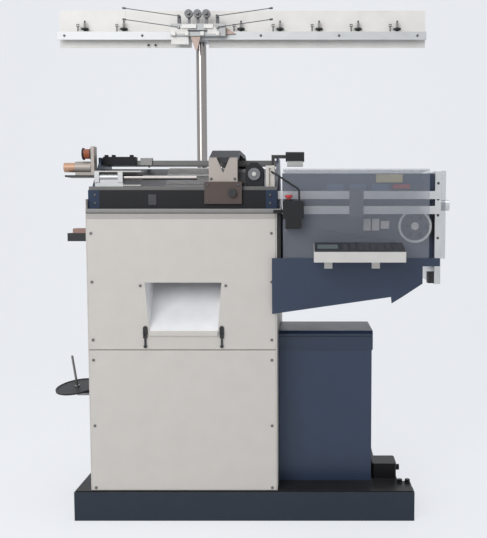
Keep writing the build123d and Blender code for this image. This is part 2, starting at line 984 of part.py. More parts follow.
def make_bed_bracket(outer, side):
    """Cast end bracket under both beds with a cheek that carries the rails."""
    low, high = bed_under_line()
    depth = 2 * bed_y
    body = [
        (low[0], table_top),
        low,
        high,
        (depth - high[0], high[1]),
        (depth - low[0], low[1]),
        (depth - low[0], table_top),
    ]
    inner = outer + side * bracket_width
    cast = prism_x(body, min(outer, inner), max(outer, inner))
    hole_z = (table_top + high[1]) / 2
    cast -= round_x(min(outer, inner) - overrun, max(outer, inner) + overrun, bed_y, hole_z, bracket_hole_radius)
    foot = bed_centre_depth - cheek_foot_depth
    half_top = cheek_top_width / 2
    cheek = [
        (bed_y - foot, table_top),
        (bed_y - foot, table_top + cheek_shoulder_height),
        (bed_y - half_top, table_top + cheek_top_height - cheek_top_land),
        (bed_y - half_top, table_top + cheek_top_height),
        (bed_y + half_top, table_top + cheek_top_height),
        (bed_y + half_top, table_top + cheek_top_height - cheek_top_land),
        (bed_y + foot, table_top + cheek_shoulder_height),
        (bed_y + foot, table_top),
    ]
    cheek_in = outer + side * cheek_wall
    return cast + prism_x(cheek, min(outer, cheek_in), max(outer, cheek_in))


def make_bed_bracket_left():
    """Left end bracket with the shelf for the actuators."""
    bracket = make_bed_bracket(bed_left - cheek_wall, 1)
    outer = bed_left - cheek_wall
    y0 = front_y + shelf_front_depth
    z0 = table_top + shelf_rise
    return bracket + block(outer - shelf_reach, outer + cheek_wall / 2, y0, y0 + shelf_depth, z0, z0 + shelf_wall)


def make_bed_bracket_right():
    """Right end bracket with the hole that the drive link passes through."""
    outer = bed_right + cheek_wall
    bracket = make_bed_bracket(outer, -1)
    radius = link_rod_radius + link_rod_gap
    return bracket - round_x(outer - cheek_wall - overrun, outer + overrun, link_y, link_z, radius)


def make_bed_beams():
    """Two channel beams along the head, the front one closing it as an apron."""
    y1 = beam_y + beam_width
    outline = [
        (beam_y, table_top),
        (y1, table_top),
        (y1, table_top + beam_wall),
        (beam_y + beam_wall, table_top + beam_wall),
        (beam_y + beam_wall, beam_top - beam_wall),
        (y1, beam_top - beam_wall),
        (y1, beam_top),
        (beam_y, beam_top),
    ]
    front = prism_x(outline, bed_left - cheek_wall, bed_right + cheek_wall)
    return Compound(children=[front, to_rear(front)])


def make_guide_rails():
    """Carriage rails on the beams, yarn carrier rails between the cheeks and the arm's guide bars."""
    x0 = bed_left - cheek_wall
    x1 = bed_right + cheek_wall
    track = block(x0, x1, rail_y, rail_y + carriage_rail_width, beam_top, rail_top)
    half = carrier_rail_width / 2
    z1 = carrier_rail_z + carrier_rail_height
    bar = block(bed_left, bed_right, carrier_rail_y - half, carrier_rail_y + half, carrier_rail_z, z1)
    return Compound(children=[track, to_rear(track), bar, to_rear(bar)] + make_guide_bars())


def rider_outline(wall, crown, clearance):
    """Inverted U (y, z) over the front carrier rail."""
    inside = carrier_rail_width / 2 + clearance
    outside = inside + wall
    foot = carrier_rail_z - clearance
    roof = carrier_rail_z + carrier_rail_height + clearance
    return [
        (carrier_rail_y - outside, foot),
        (carrier_rail_y - inside, foot),
        (carrier_rail_y - inside, roof),
        (carrier_rail_y + inside, roof),
        (carrier_rail_y + inside, foot),
        (carrier_rail_y + outside, foot),
        (carrier_rail_y + outside, roof + crown),
        (carrier_rail_y - outside, roof + crown),
    ]


def make_yarn_carrier():
    """Yarn carrier astride the front carrier rail with its feeding tube over the gap."""
    x0 = cabinet_left + carrier_left_inset
    x1 = x0 + carrier_width
    carrier = prism_x(rider_outline(carrier_wall, carrier_crown, slide_clearance), x0, x1)
    middle = (x0 + x1) / 2
    z1 = carrier_rail_z - slide_clearance
    inside = carrier_rail_y + carrier_rail_width / 2 + slide_clearance
    half = carrier_wall
    arm_z = z1 + carrier_arm_wall
    carrier += block(middle - half, middle + half, inside, bed_y + carrier_arm_wall, z1, arm_z)
    return carrier + round_z(middle, bed_y, z1 - carrier_drop, arm_z, carrier_tube_radius)


def make_gripper_unit():
    """Black yarn gripper clamped over the front carrier rail, with three round posts."""
    x0 = cabinet_left + gripper_left_inset
    x1 = x0 + gripper_width
    unit = prism_x(rider_outline(gripper_wall, gripper_crown, 0), x0, x1)
    top = carrier_rail_z + carrier_rail_height + gripper_crown
    for share in gripper_bump_shares:
        unit += round_z(x0 + share * gripper_width, carrier_rail_y, top, top + gripper_bump_height, gripper_bump_radius)
    return unit


def make_carriage_front():
    """Front carriage casting: skirt, saddle over the rail and cam plate along the bed."""
    lip_y = rail_y + carriage_rail_width + slide_clearance
    profile = [
        (skirt_y, saddle_top - carriage_skirt_drop - carriage_saddle_wall),
        (skirt_y + carriage_skirt_wall, saddle_top - carriage_skirt_drop - carriage_saddle_wall),
        (skirt_y + carriage_skirt_wall, saddle_z),
        (lip_y, saddle_z),
        (lip_y, saddle_z - carriage_lip_drop),
        (lip_y + carriage_lip_wall, saddle_z - carriage_lip_drop),
        (lip_y + carriage_lip_wall, saddle_z),
        (skirt_y + carriage_saddle_reach, saddle_z),
        (skirt_y + carriage_saddle_reach, saddle_top),
        (skirt_y, saddle_top),
    ]
    casting = prism_x(profile, carriage_left, carriage_right)
    low = cam_plate_gap
    high = cam_plate_gap + cam_plate_wall
    end = cam_plate_start + cam_plate_length
    plate = [
        slope_point(cam_plate_start, low),
        slope_point(end, low),
        slope_point(end, high),
        slope_point(cam_plate_start, high),
    ]
    casting += prism_x(plate, carriage_left, carriage_right)
    knob_x = carriage_right - cam_knob_inset
    return casting + round_y(knob_x, skirt_y - cam_knob_length, skirt_y, saddle_top - cam_knob_drop, cam_knob_radius)


def make_carriage_rear():
    """Rear carriage casting, the mirror image of the front one without the knob."""
    knob = block(carriage_left, carriage_right, skirt_y - cam_knob_length - overrun, skirt_y, table_top, saddle_top)
    return to_rear(make_carriage_front() - knob)


def make_carriage_bridge():
    """Arched bridge over both beds, cast in one with the rear half, its legs notched and its crown open."""
    x0 = carriage_left + bridge_inset
    x1 = carriage_right - bridge_inset
    y0 = skirt_y + carriage_skirt_wall
    leg_top = saddle_top + bridge_leg_height
    crown = saddle_top + bridge_crown_height
    half = [
        (y0, saddle_top),
        (y0 + bridge_wall, saddle_top),
        (y0 + bridge_wall, leg_top - bridge_crown_wall),
        (y0 + bridge_crown_inset, crown),
    ]
    roof = [(y0 + bridge_crown_inset, crown + bridge_crown_wall), (y0, leg_top)]
    under = half + [(2 * bed_y - y, z) for y, z in reversed(half)]
    over = [(2 * bed_y - y, z) for y, z in reversed(roof)] + roof
    bridge = prism_x(under + over, x0, x1)
    middle = (x0 + x1) / 2
    notch = [
        (middle - bridge_notch_width / 2, leg_top + overrun),
        (middle, leg_top - bridge_notch_height),
        (middle + bridge_notch_width / 2, leg_top + overrun),
    ]
    for y in (y0, 2 * bed_y - y0 - bridge_wall):
        bridge -= prism_y(notch, y - overrun, y + bridge_wall + overrun)
    window = bridge_window_width / 2
    bridge -= block(
        middle - window,
        middle + window,
        bed_y - window,
        bed_y + window,
        crown - overrun,
        crown + bridge_crown_wall + overrun,
    )
    return bridge + make_carriage_rear()


def make_drive_link():
    """Lug under the saddle, push rod to the right and the slider on the two guide bars."""
    half = link_lug_width / 2
    link = block(carriage_right - link_lug_length, carriage_right, link_y - half, link_y + half, link_z - half, saddle_z)
    link += round_x(carriage_right - link_lug_length, slider_x + slider_wall, link_y, link_z, link_rod_radius)
    y0 = bar_y - slider_wall
    y1 = bar_y + bar_wall + slider_back
    z0 = bar_lower_z - slider_top_wall
    z1 = bar_upper_z + bar_height + slider_top_wall
    slider = block(slider_x, slider_x + slider_width, y0, y1, z0, z1)
    for z in (bar_lower_z, bar_upper_z):
        slider -= block(
            slider_x - overrun,
            slider_x + slider_width + overrun,
            bar_y - slide_clearance,
            bar_y + bar_wall + slide_clearance,
            z - slide_clearance,
            z + bar_height + slide_clearance,
        )
    x1 = slider_x + slider_width
    jaw_y1 = wheel_y + (wheel_width + belt_width) / 2
    jaw = block(x1 - jaw_width, x1, y1, jaw_y1, belt_z - jaw_height, belt_z + belt_wall + jaw_height)
    throat_y = wheel_y + (wheel_width - belt_width) / 2 - belt_gap
    jaw -= block(
        x1 - jaw_width - overrun,
        x1 + overrun,
        throat_y,
        jaw_y1 + overrun,
        belt_z - belt_gap,
        belt_z + belt_wall + belt_gap,
    )
    return link + slider + jaw


def make_press_cylinder():
    """Air cylinder with square heads on a foot behind the front carriage rail, and a plate on top."""
    x0 = cabinet_left + cylinder_left_inset
    x1 = x0 + cylinder_length
    y = rail_y + carriage_rail_width + cylinder_foot_width
    z = beam_top + cylinder_rise
    half = cylinder_head / 2
    body = round_x(x0, x1, y, z, cylinder_radius)
    for x in (x0, x1 - cylinder_head_length):
        body += block(x, x + cylinder_head_length, y - half, y + half, z - half, z + half)
    foot_y = rail_y + carriage_rail_width
    body += block(x0, x1, foot_y, foot_y + cylinder_foot_width, beam_top, z)
    body += block(x0, x1 + cylinder_plate_length, y - half, y + half, z + half, z + half + cylinder_plate_wall)
    radius = rod_radius + running_clearance
    return body - round_x(x1 - cylinder_bore_depth, x1 + overrun, y, z, radius)


def make_press_rod():
    """Piston rod of the air cylinder."""
    x0 = cabinet_left + cylinder_left_inset + cylinder_length - cylinder_bore_depth + rod_stroke + overrun
    y = rail_y + carriage_rail_width + cylinder_foot_width
    return round_x(x0, x0 + rod_length, y, beam_top + cylinder_rise, rod_radius)


def make_left_actuators():
    """Motor in a cradle on the shelf and a coil on an upright plate beside it."""
    outer = bed_left - cheek_wall
    y = front_y + shelf_front_depth + shelf_depth / 2
    z0 = table_top + shelf_rise + shelf_wall
    z = z0 + motor_axis_rise
    x1 = outer - coil_plate_wall - motor_inset
    x0 = x1 - motor_length
    unit = round_x(x0, x1, y, z, motor_radius)
    unit += round_x(x0 - motor_cap_length, x0, y, z, motor_cap_radius)
    unit += block(x0, x1, y - motor_cradle_width / 2, y + motor_cradle_width / 2, z0, z)
    plate_half = coil_plate_width / 2
    unit += block(x1, outer, y - plate_half, y + plate_half, z0, z0 + coil_plate_height)
    coil_z = z0 + coil_rise
    coil_x = x1 - coil_length
    unit += round_x(coil_x, x1, y, coil_z, coil_radius)
    for x in (coil_x, x1 - coil_flange_wall):
        unit += round_x(x, x + coil_flange_wall, y, coil_z, coil_flange_radius)
    return unit


def make_selector_housing():
    """Bevelled black housing on the front beam with a round boss in front."""
    x1 = cabinet_right - selector_right_inset
    x0 = x1 - selector_width
    y0 = rail_y + carriage_rail_width
    z0 = beam_top + selector_foot_height
    z1 = z0 + selector_height
    outline = [
        (x0, z0),
        (x1, z0),
        (x1, z1 - selector_bevel),
        (x1 - selector_bevel, z1),
        (x0 + selector_bevel, z1),
        (x0, z1 - selector_bevel),
    ]
    housing = prism_y(outline, y0, y0 + selector_depth)
    housing += block(x0, x1, y0, y0 + selector_foot_width, beam_top, z0)
    middle = (x0 + x1) / 2
    return housing + round_y(middle, y0 - selector_boss_length, y0, (z0 + z1) / 2, selector_boss_radius)


def drive_block_span():
    """Left and right side of the carrier drive block."""
    x0 = cabinet_right - selector_right_inset + drive_block_gap
    return x0, x0 + drive_block_width


def make_carrier_drive_block():
    """Steel block on the front beam with a slot in its face and the lamp's arm with its pin."""
    x0, x1 = drive_block_span()
    y0 = rail_y + carriage_rail_width
    z0 = beam_top + selector_foot_height
    z1 = z0 + drive_block_height
    steel = block(x0, x1, y0, y0 + drive_block_depth, z0, z1)
    middle = (x0 + x1) / 2
    half = drive_block_slot / 2
    steel -= block(middle - half, middle + half, y0 - overrun, y0 + drive_block_slot, z0 - overrun, z1 - drive_block_slot)
    steel += block(x0, x1, y0, y0 + selector_foot_width, beam_top, z0)
    arm_z = z1 + lamp_arm_rise
    steel += block(x1 - lamp_arm_wall, x1, y0, y0 + lamp_arm_depth, z1, arm_z)
    steel += block(x1, x1 + lamp_arm_reach, y0, y0 + lamp_arm_depth, arm_z - lamp_arm_wall, arm_z)
    pin_x = x1 + lamp_arm_reach
    pin_y = y0 + lamp_arm_depth / 2
    return steel + round_x(pin_x, pin_x + lamp_pin_length, pin_y, arm_z - lamp_arm_wall / 2, lamp_pin_radius)


def lamp_pivot():
    """Left end of the lamp's pin and its axis (x, y, z)."""
    x1 = drive_block_span()[1]
    y = rail_y + carriage_rail_width + lamp_arm_depth / 2
    z = beam_top + selector_foot_height + drive_block_height + lamp_arm_rise - lamp_arm_wall / 2
    return x1 + lamp_arm_reach, y, z


def make_lamp_head():
    """Lamp housing that tilts on the arm's pin."""
    x, y, z = lamp_pivot()
    x0 = x + slide_clearance
    half = lamp_depth / 2
    z1 = z + lamp_pivot_drop
    head = block(x0, x0 + lamp_width, y - half, y + half, z1 - lamp_height, z1)
    head = fillet(head.faces().sort_by(Axis.Z)[-1].edges().filter_by(Axis.X), lamp_corner)
    return head - round_x(x - overrun, x + lamp_pin_length + slide_clearance, y, z, lamp_pin_radius + running_clearance)


def make_lamp_lens():
    """Tapered diffuser under the lamp housing."""
    x, y, z = lamp_pivot()
    x0 = x + slide_clearance + lens_inset
    x1 = x + slide_clearance + lamp_width - lens_inset
    half = lamp_depth / 2 - lens_inset
    z1 = z + lamp_pivot_drop - lamp_height
    outline = [
        (y - half, z1),
        (y - half + lens_taper, z1 - lens_height),
        (y + half - lens_taper, z1 - lens_height),
        (y + half, z1),
    ]
    return prism_x(outline, x0, x1)


def switch_span():
    """Left side, front, underside of the switch box's main part."""
    x0 = table_right + switch_left_gap
    y0 = front_y + switch_back_depth - switch_depth
    return x0, y0, table_top + switch_rise - switch_height


def make_switch_box():
    """Switch box in front of the arm with a narrower tail, a lug to the table and the stop's collar."""
    x0, y0, z0 = switch_span()
    x1 = x0 + switch_width
    y1 = front_y + switch_back_depth
    z1 = z0 + switch_height
    box = block(x0, x1, y0, y1, z0, z1)
    box = fillet(box.edges().filter_by(Axis.Y), panel_corner)
    box += block(x0 + switch_tail_inset, x1 - switch_tail_inset, y0, y1, z0 - switch_tail_height, z0)
    lug_x0 = table_right - switch_lug_width
    box += block(lug_x0, x0 + panel_corner, y1 - sheet, y1, table_under, table_top - table_front_radius)
    box += block(lug_x0, lug_x0 + switch_left_gap, y1, front_y + table_front_depth,
                 table_under + table_front_radius, table_top - table_front_radius)
    stop_x = x0 + stop_inset
    stop_y = (y0 + y1) / 2
    box += round_z(stop_x, stop_y, z1, z1 + stop_collar_height, stop_collar_radius)
    radius = stop_stem_radius + running_clearance
    return box - round_z(stop_x, stop_y, z1 - stop_bore_depth, z1 + stop_collar_height + overrun, radius)


def make_stop_button():
    """Mushroom head on a stem that sinks into the collar."""
    x0, y0, z0 = switch_span()
    x = x0 + stop_inset
    y = y0 + switch_depth / 2
    collar = z0 + switch_height + stop_collar_height
    stem = round_z(x, y, collar - stop_bore_depth + stop_travel + overrun, collar + stop_gap, stop_stem_radius)
    head = round_z(x, y, collar + stop_gap, collar + stop_gap + stop_head_height, stop_head_radius)
    return stem + fillet(head.edges().sort_by(Axis.Z)[-1], stop_head_height / 2)


def make_lamp_cable():
    """Cable from the drive block down to the switch box, in straight runs and arcs."""
    x1 = drive_block_span()[1]
    y1 = rail_y + carriage_rail_width
    z1 = beam_top + selector_foot_height + drive_block_height - cable_fall
    x0, y0, z0 = switch_span()
    end_x = x0 + switch_width / 2 + stop_inset
    end_y = y0 + switch_depth / 2
    start_x = x1 - cable_radius * 2
    bend_z = z0 + switch_height + 2 * cable_bend
    route = FilletPolyline(
        (start_x, y1, z1),
        (start_x, end_y, z1),
        (end_x, end_y, bend_z),
        (end_x, end_y, z0 + switch_height),
        radius=cable_bend,
    )
    ring = Plane(origin=route @ 0, z_dir=route % 0) * Circle(cable_radius)
    return sweep(ring, path=route)


def make_drive_pan():
    """Folded pan of the arm: shaped front skirt, sloping floor and tall rear wall."""
    z0 = table_top - arm_left_drop
    knee_x = arm_left + arm_slope_length
    knee_z = z0 + arm_slope_rise
    tip_x = arm_left + arm_tip_length
    skirt = [
        (arm_left, z0),
        (knee_x, knee_z),
        (knee_x + sheet, knee_z - arm_tooth_drop),
        (knee_x + arm_tooth_width, knee_z),
        (tip_x, z0 + arm_tip_rise),
        (tip_x, z0 + arm_step_rise),
        (arm_right, z0 + arm_step_rise),
        (arm_right, arm_top),
        (arm_left, arm_top),
    ]
    pan = prism_y(skirt, arm_y, arm_y + sheet)
    floor_x = cabinet_right + side_sheet
    floor_z = z0 + arm_slope_rise * (floor_x - arm_left) / arm_slope_length
    floor = [(floor_x, floor_z), (knee_x, knee_z), (knee_x, knee_z + sheet), (floor_x, floor_z + sheet)]
    pan += prism_y(floor, arm_y, arm_rear)
    wall = [(floor_x, floor_z), (knee_x, knee_z), (end_plate_x, z0 + arm_step_rise), (end_plate_x, table_under),
            (floor_x, table_under)]
    pan += prism_y(wall, arm_rear - sheet, arm_rear)
    pan += block(table_right, end_plate_x, arm_rear - sheet, arm_rear, table_under - sheet, cover_top - cover_wall)
    return pan


def make_drive_back_plate():
    """Upright plate between table and end plate with terminal blocks and the idler's pin."""
    y0 = front_y + back_plate_depth
    z0 = arm_top - cover_lap
    plate = block(table_right, end_plate_x, y0, y0 + back_plate_wall, z0, cover_top - 2 * cover_wall)
    plate -= round_y(wheel_x, y0 - overrun, y0 + back_plate_wall + overrun, wheel_z, shaft_hole_radius)
    for place in range(terminal_count):
        x = table_right + terminal_inset + place * terminal_pitch
        plate += block(x, x + terminal_width, y0 - terminal_reach, y0, cover_top - terminal_pitch,
                       cover_top - terminal_pitch + terminal_height)
    plate += round_y(idler_x, wheel_y - idler_pin_cap_wall - belt_gap, y0, idler_z, idler_pin_radius)
    cap_y = wheel_y - belt_gap
    return plate + round_y(idler_x, cap_y - idler_pin_cap_wall, cap_y, idler_z, idler_pin_cap_radius)


def make_guide_bars():
    """Two flat bars from the head to the end plate."""
    x1 = end_plate_x + bar_lap
    upper_x0 = bed_right + cheek_wall
    upper = block(upper_x0, x1, bar_y, bar_y + bar_wall, bar_upper_z, bar_upper_z + bar_height)
    lower = block(table_right, x1, bar_y, bar_y + bar_wall, bar_lower_z, bar_lower_z + bar_height)
    return [upper, lower]


def make_drive_end_plate():
    """Thick aluminium plate at the arm's end with a bearing cap outside and a limit switch below."""
    x1 = end_plate_x + end_plate_wall
    y0 = front_y + end_plate_front_depth
    z0 = table_top - end_plate_drop
    plate = block(end_plate_x, x1, y0, arm_rear, z0, table_top + end_plate_rise)
    plate = fillet(plate.edges().filter_by(Axis.X), panel_corner)
    cap_z = table_top + end_boss_rise
    plate += round_x(x1, x1 + end_boss_length, front_y + end_boss_depth, cap_z, end_boss_radius)
    switch_y = y0 + limit_switch_depth
    return plate + block(end_plate_x - limit_switch_width, end_plate_x, y0, switch_y, z0 + panel_corner,
                         z0 + limit_switch_height)


def make_smoked_cover():
    """Bent clear cover over the drive and the shallow cap beyond the end plate."""
    x0 = cabinet_right + cover_left_gap
    x1 = x0 + cover_length
    y0 = arm_y + sheet
    z0 = arm_top - cover_lap
    profile = block(x0, x1, y0, arm_rear, z0, cover_top)
    profile = fillet(profile.faces().sort_by(Axis.Y)[0].edges().sort_by(Axis.Z)[-1], cover_bend)
    hollow = block(x0 - overrun, x1 + overrun, y0 + cover_wall, arm_rear + overrun, z0 - overrun, cover_top - cover_wall)
    hollow = fillet(hollow.faces().sort_by(Axis.Y)[0].edges().sort_by(Axis.Z)[-1], cover_bend - cover_wall)
    cap_x = end_plate_x + end_plate_wall
    cap_y = front_y + end_plate_front_depth
    cap_top = table_top + end_plate_rise
    cap = block(cap_x, cap_x + end_cap_wall, cap_y, arm_rear, table_top - end_cap_drop, cap_top)
    cap_z = table_top + end_boss_rise
    cap -= round_x(cap_x - overrun, cap_x + end_cap_wall + overrun, front_y + end_boss_depth, cap_z,
                   end_boss_radius + slide_clearance)
    return Compound(children=[profile - hollow, cap])


def make_drive_motor():
    """Motor behind the back plate with a square flange and a bore for the wheel's shaft."""
    y0 = front_y + back_plate_depth + back_plate_wall
    half = drive_motor_half
    flange_y = y0 + drive_motor_flange_wall
    motor = block(wheel_x - half, wheel_x + half, y0, flange_y, wheel_z - half, wheel_z + half)
    motor = fillet(motor.edges().filter_by(Axis.Y), panel_corner)
    motor += round_y(wheel_x, flange_y, flange_y + drive_motor_length, wheel_z, drive_motor_radius)
    return motor - round_y(wheel_x, y0 - overrun, y0 + shaft_insert + overrun, wheel_z, shaft_radius + running_clearance)


def make_drive_wheel():
    """Belt wheel with a thin web, round holes and a shaft into the motor."""
    y1 = wheel_y + wheel_width
    wheel = round_y(wheel_x, wheel_y, y1, wheel_z, wheel_radius)
    recess = (wheel_width - wheel_web) / 2
    for y in (wheel_y - overrun, y1 - recess):
        wheel -= round_y(wheel_x, y, y + recess + overrun, wheel_z, wheel_radius - wheel_rim)
    for place in range(wheel_hole_count):
        turn = radians(place * 360 / wheel_hole_count)
        x = wheel_x + wheel_hole_circle * cos(turn)
        z = wheel_z + wheel_hole_circle * sin(turn)
        wheel -= round_y(x, wheel_y - overrun, y1 + overrun, z, wheel_hole_radius)
    wheel += round_y(wheel_x, wheel_y, y1, wheel_z, wheel_hub_radius)
    end = front_y + back_plate_depth + back_plate_wall + shaft_insert
    return wheel + round_y(wheel_x, wheel_y, end, wheel_z, shaft_radius)


def make_idler_wheel():
    """Plain idler on the pin of the back plate."""
    wheel = round_y(idler_x, wheel_y, wheel_y + wheel_width, idler_z, idler_radius)
    radius = idler_pin_radius + running_clearance
    return wheel - round_y(idler_x, wheel_y - overrun, wheel_y + wheel_width + overrun, idler_z, radius)


def belt_face(grow):
    """Area enclosed by the belt's loop, grown outwards."""
    large = Pos(wheel_x, wheel_z) * Circle(wheel_radius + grow)
    small = Pos(idler_x, idler_z) * Circle(idler_radius + grow)
    return make_hull(large.edges() + small.edges())


def make_drive_belt():
    """Belt round the drive wheel and the idler."""
    loop = belt_face(belt_gap + belt_wall) - belt_face(belt_gap)
    y0 = wheel_y + (wheel_width - belt_width) / 2
    return extrude(Plane.XZ.offset(-y0) * loop, amount=belt_width, dir=(0, 1, 0))


def op_outline(shrink, lift):
    """Side outline (y, z) of the operation panel, shrunk for its inside and with its top lifted."""
    y1 = arm_y - op_gap
    y0 = y1 - op_depth
    z0 = table_top - op_drop
    return [
        (y0 + shrink, z0 + shrink),
        (y1 - shrink, z0 + shrink),
        (y1 - shrink, z0 + op_rear_height + lift),
        (y0 + shrink, z0 + op_front_height + lift),
    ]


def make_panel_case():
    """Wedge-shaped hollow case open at its sloping top, on two bent tabs."""
    x0 = arm_left + op_left_gap
    x1 = x0 + op_width
    case = prism_x(op_outline(0, 0), x0, x1)
    case -= prism_x(op_outline(op_wall, op_rear_height), x0 + op_wall, x1 - op_wall)
    y1 = arm_y - op_gap
    z0 = table_top - op_drop
    for share in op_tab_shares:
        tab = [
            (arm_y, z0),
            (arm_y, z0 - op_tab_drop),
            (arm_y - op_tab_wall, z0 - op_tab_drop),
            (arm_y - op_tab_wall, z0 - op_tab_wall),
            (y1 - op_tab_reach, z0 - op_tab_wall),
            (y1 - op_tab_reach, z0),
        ]
        start = x0 + share * op_width
        case += prism_x(tab, start, start + op_tab_width)
    return case


def make_panel_face():
    """Dark face plate on the slope with a raised screen and rows of flat keys."""
    tilt = Vector(0, op_depth, op_rear_height - op_front_height)
    length = tilt.length
    x0 = arm_left + op_left_gap
    y0 = arm_y - op_gap - op_depth
    z0 = table_top - op_drop + op_front_height
    slope = Plane(origin=(x0, y0, z0), x_dir=(1, 0, 0), z_dir=Vector(1, 0, 0).cross(tilt))
    width = op_width - 2 * op_face_margin
    depth = length - 2 * op_face_margin
    face = Pos(op_width / 2, length / 2, op_face_wall / 2) * Box(width, depth, op_face_wall)
    screen_x = op_screen_inset + op_screen_width / 2
    face += Pos(screen_x, length / 2, op_face_wall + op_screen_raise / 2) * Box(
        op_screen_width, op_screen_depth, op_screen_raise
    )
    first_y = length / 2 - op_key_pitch_y * (op_key_rows - 1) / 2
    for column in range(op_key_columns):
        for row in range(op_key_rows):
            place = Pos(
                op_key_inset + column * op_key_pitch_x + op_key_width / 2,
                first_y + row * op_key_pitch_y,
                op_face_wall + op_key_raise / 2,
            )
            face += place * Box(op_key_width, op_key_depth, op_key_raise)
    return slope * face


def make_control_box_body():
    """Control box of sheet steel, open at the top."""
    x1 = box_left + box_width
    top = deck_top + box_height
    body = block(box_left, x1, box_y, box_y + box_depth, deck_top, top)
    body = fillet(body.edges().filter_by(Axis.Z), panel_corner)
    return body - block(
        box_left + sheet, x1 - sheet, box_y + sheet, box_y + box_depth - sheet, deck_top + sheet, top + overrun
    )


def make_control_box_lid():
    """Lid with a lower band, a groove and a bevelled upper band, hollow below."""
    x1 = box_left + box_width + lid_overhang
    y0 = box_y - lid_overhang
    y1 = box_y + box_depth + lid_overhang
    z0 = deck_top + box_height
    z1 = z0 + lid_height
    band = z0 + lid_band_height
    front = [
        (y0, z0),
        (y1, z0),
        (y1, z1 - lid_bevel),
        (y1 - lid_bevel, z1),
        (y0 + lid_bevel, z1),
        (y0, z1 - lid_bevel),
        (y0, band + lid_groove),
        (y0 + lid_groove, band + lid_groove),
        (y0 + lid_groove, band),
        (y0, band),
    ]
    lid = prism_x(front, box_left, x1)
    return lid - block(
        box_left + lid_groove,
        x1 - lid_groove - sheet,
        y0 + 2 * lid_groove,
        y1 - 2 * lid_groove,
        z0 - overrun,
        band - lid_groove,
    )


def make_control_chassis():
    """Plate on the box's floor with two drive units and a transformer."""
    x0 = box_left + chassis_margin
    x1 = box_left + box_width - chassis_margin
    y1 = box_y + box_depth - chassis_gap
    z0 = deck_top + sheet
    z1 = deck_top + box_height - chassis_margin
    chassis = block(x0, x1, y1 - chassis_wall, y1, z0, z1)
    y0 = y1 - chassis_wall - unit_reach
    for x in (x0 + chassis_margin, x1 - chassis_margin - unit_width):
        unit = block(x, x + unit_width, y0, y1, z1 - unit_top_gap - unit_height, z1 - unit_top_gap)
        for place in range(unit_fin_count):
            fin = x + unit_width * (place + 1) / (unit_fin_count + 1)
            unit -= block(fin - sheet, fin + sheet, y0 - overrun, y0 + unit_fin_depth, z0, z1)
        chassis += unit
    chassis += block(x0, x1, y0 - chassis_gap, y1, z0, z0 + chassis_wall)
    middle = (x0 + x1) / 2
    half = transformer_width / 2
    return chassis + block(middle - half, middle + half, y0, y1, z0, z0 + transformer_height)


def make_mast():
    """Chrome tube on a round foot at the rear of the table."""
    tube = round_z(mast_x, mast_y, table_top, mast_top, mast_radius)
    tube += round_z(mast_x, mast_y, table_top, table_top + mast_foot_height, mast_foot_radius)
    return tube - round_z(mast_x, mast_y, table_top + mast_foot_height, mast_top + overrun, mast_radius - mast_wall)


def make_rack_rail():
    """Aluminium angle along the rack, its flange turned to the rear, with a clamp round the mast."""
    z0 = rack_top - rack_face_height
    outline = [
        (rack_y, z0),
        (rack_y + rack_wall, z0),
        (rack_y + rack_wall, rack_top - rack_wall),
        (rack_y + rack_flange, rack_top - rack_wall),
        (rack_y + rack_flange, rack_top),
        (rack_y, rack_top),
    ]
    rail = prism_x(outline, rack_left, rack_right)
    half = rack_clamp_width / 2
    y1 = mast_y + mast_radius + rack_clamp_wall
    clamp = block(mast_x - half, mast_x + half, rack_y + rack_wall, y1, z0, rack_top - rack_wall)
    return rail + clamp - round_z(mast_x, mast_y, z0 - overrun, mast_top, mast_radius + running_clearance)


def make_rack_board():
    """Pale thin board behind the rail, cut round the mast, with a seam strip at the left."""
    y0 = rack_y + rack_flange
    z0 = rack_top - board_drop
    board = block(rack_left, rack_right, y0, y0 + board_wall, z0, z0 + board_height)
    seam_x = rack_left + seam_inset
    board += block(seam_x, seam_x + seam_width, y0 - seam_wall, y0, rack_top, z0 + board_height)
    half = rack_clamp_width / 2 + slide_clearance
    return board - block(mast_x - half, mast_x + half, y0 - overrun, y0 + overrun, z0 - overrun, mast_top)


def make_tension_posts():
    """Yarn tension posts along the rail, each with a small eyelet at its left."""
    pieces = []
    y = rack_y + post_setback
    for slot in post_slots:
        x = rack_left + post_first_inset + slot * post_pitch
        post = round_z(x, y, rack_top, rack_top + post_height, post_radius)
        disc_z = rack_top + post_disc_rise
        post += round_z(x, y, disc_z, disc_z + post_disc_height, post_disc_radius)
        nut = extrude(RegularPolygon(post_nut_radius, 6), amount=post_disc_rise / 2)
        pieces.append(post + Pos(x, y, rack_top) * nut)
        eye_x = x - eye_offset
        tab_z = rack_top + eye_height
        eye = block(eye_x - eye_radius, eye_x + eye_radius, y - eye_tab_wall / 2, y + eye_tab_wall / 2, rack_top, tab_z)
        half = eye_tab_width / 2
        tab = block(eye_x - half, eye_x + half, y - eye_tab_wall / 2, y + eye_tab_wall / 2, tab_z, tab_z + eye_tab_height)
        hole_z = tab_z + eye_tab_height / 2
        pieces.append(eye + tab - round_y(eye_x, y - overrun, y + overrun, hole_z, eye_hole_radius))
    return Compound(children=pieces)


def head_span():
    """Left side, right side, underside and top of the tension head."""
    x0 = mast_x - head_width / 2
    z0 = rack_top - rack_face_height + head_rise
    return x0, x0 + head_width, z0, z0 + head_height


def lever_pivots():
    """Pivot (x, y, z) and side of each sensing lever."""
    x0, x1, z0, z1 = head_span()
    y = rack_y - head_depth
    places = []
    for row in range(2):
        z = z0 + lever_row_rise + row * lever_row_pitch
        places.append((x0 + lever_pivot_inset, y, z, -1))
        places.append((x1 - lever_pivot_inset, y, z, 1))
    return places


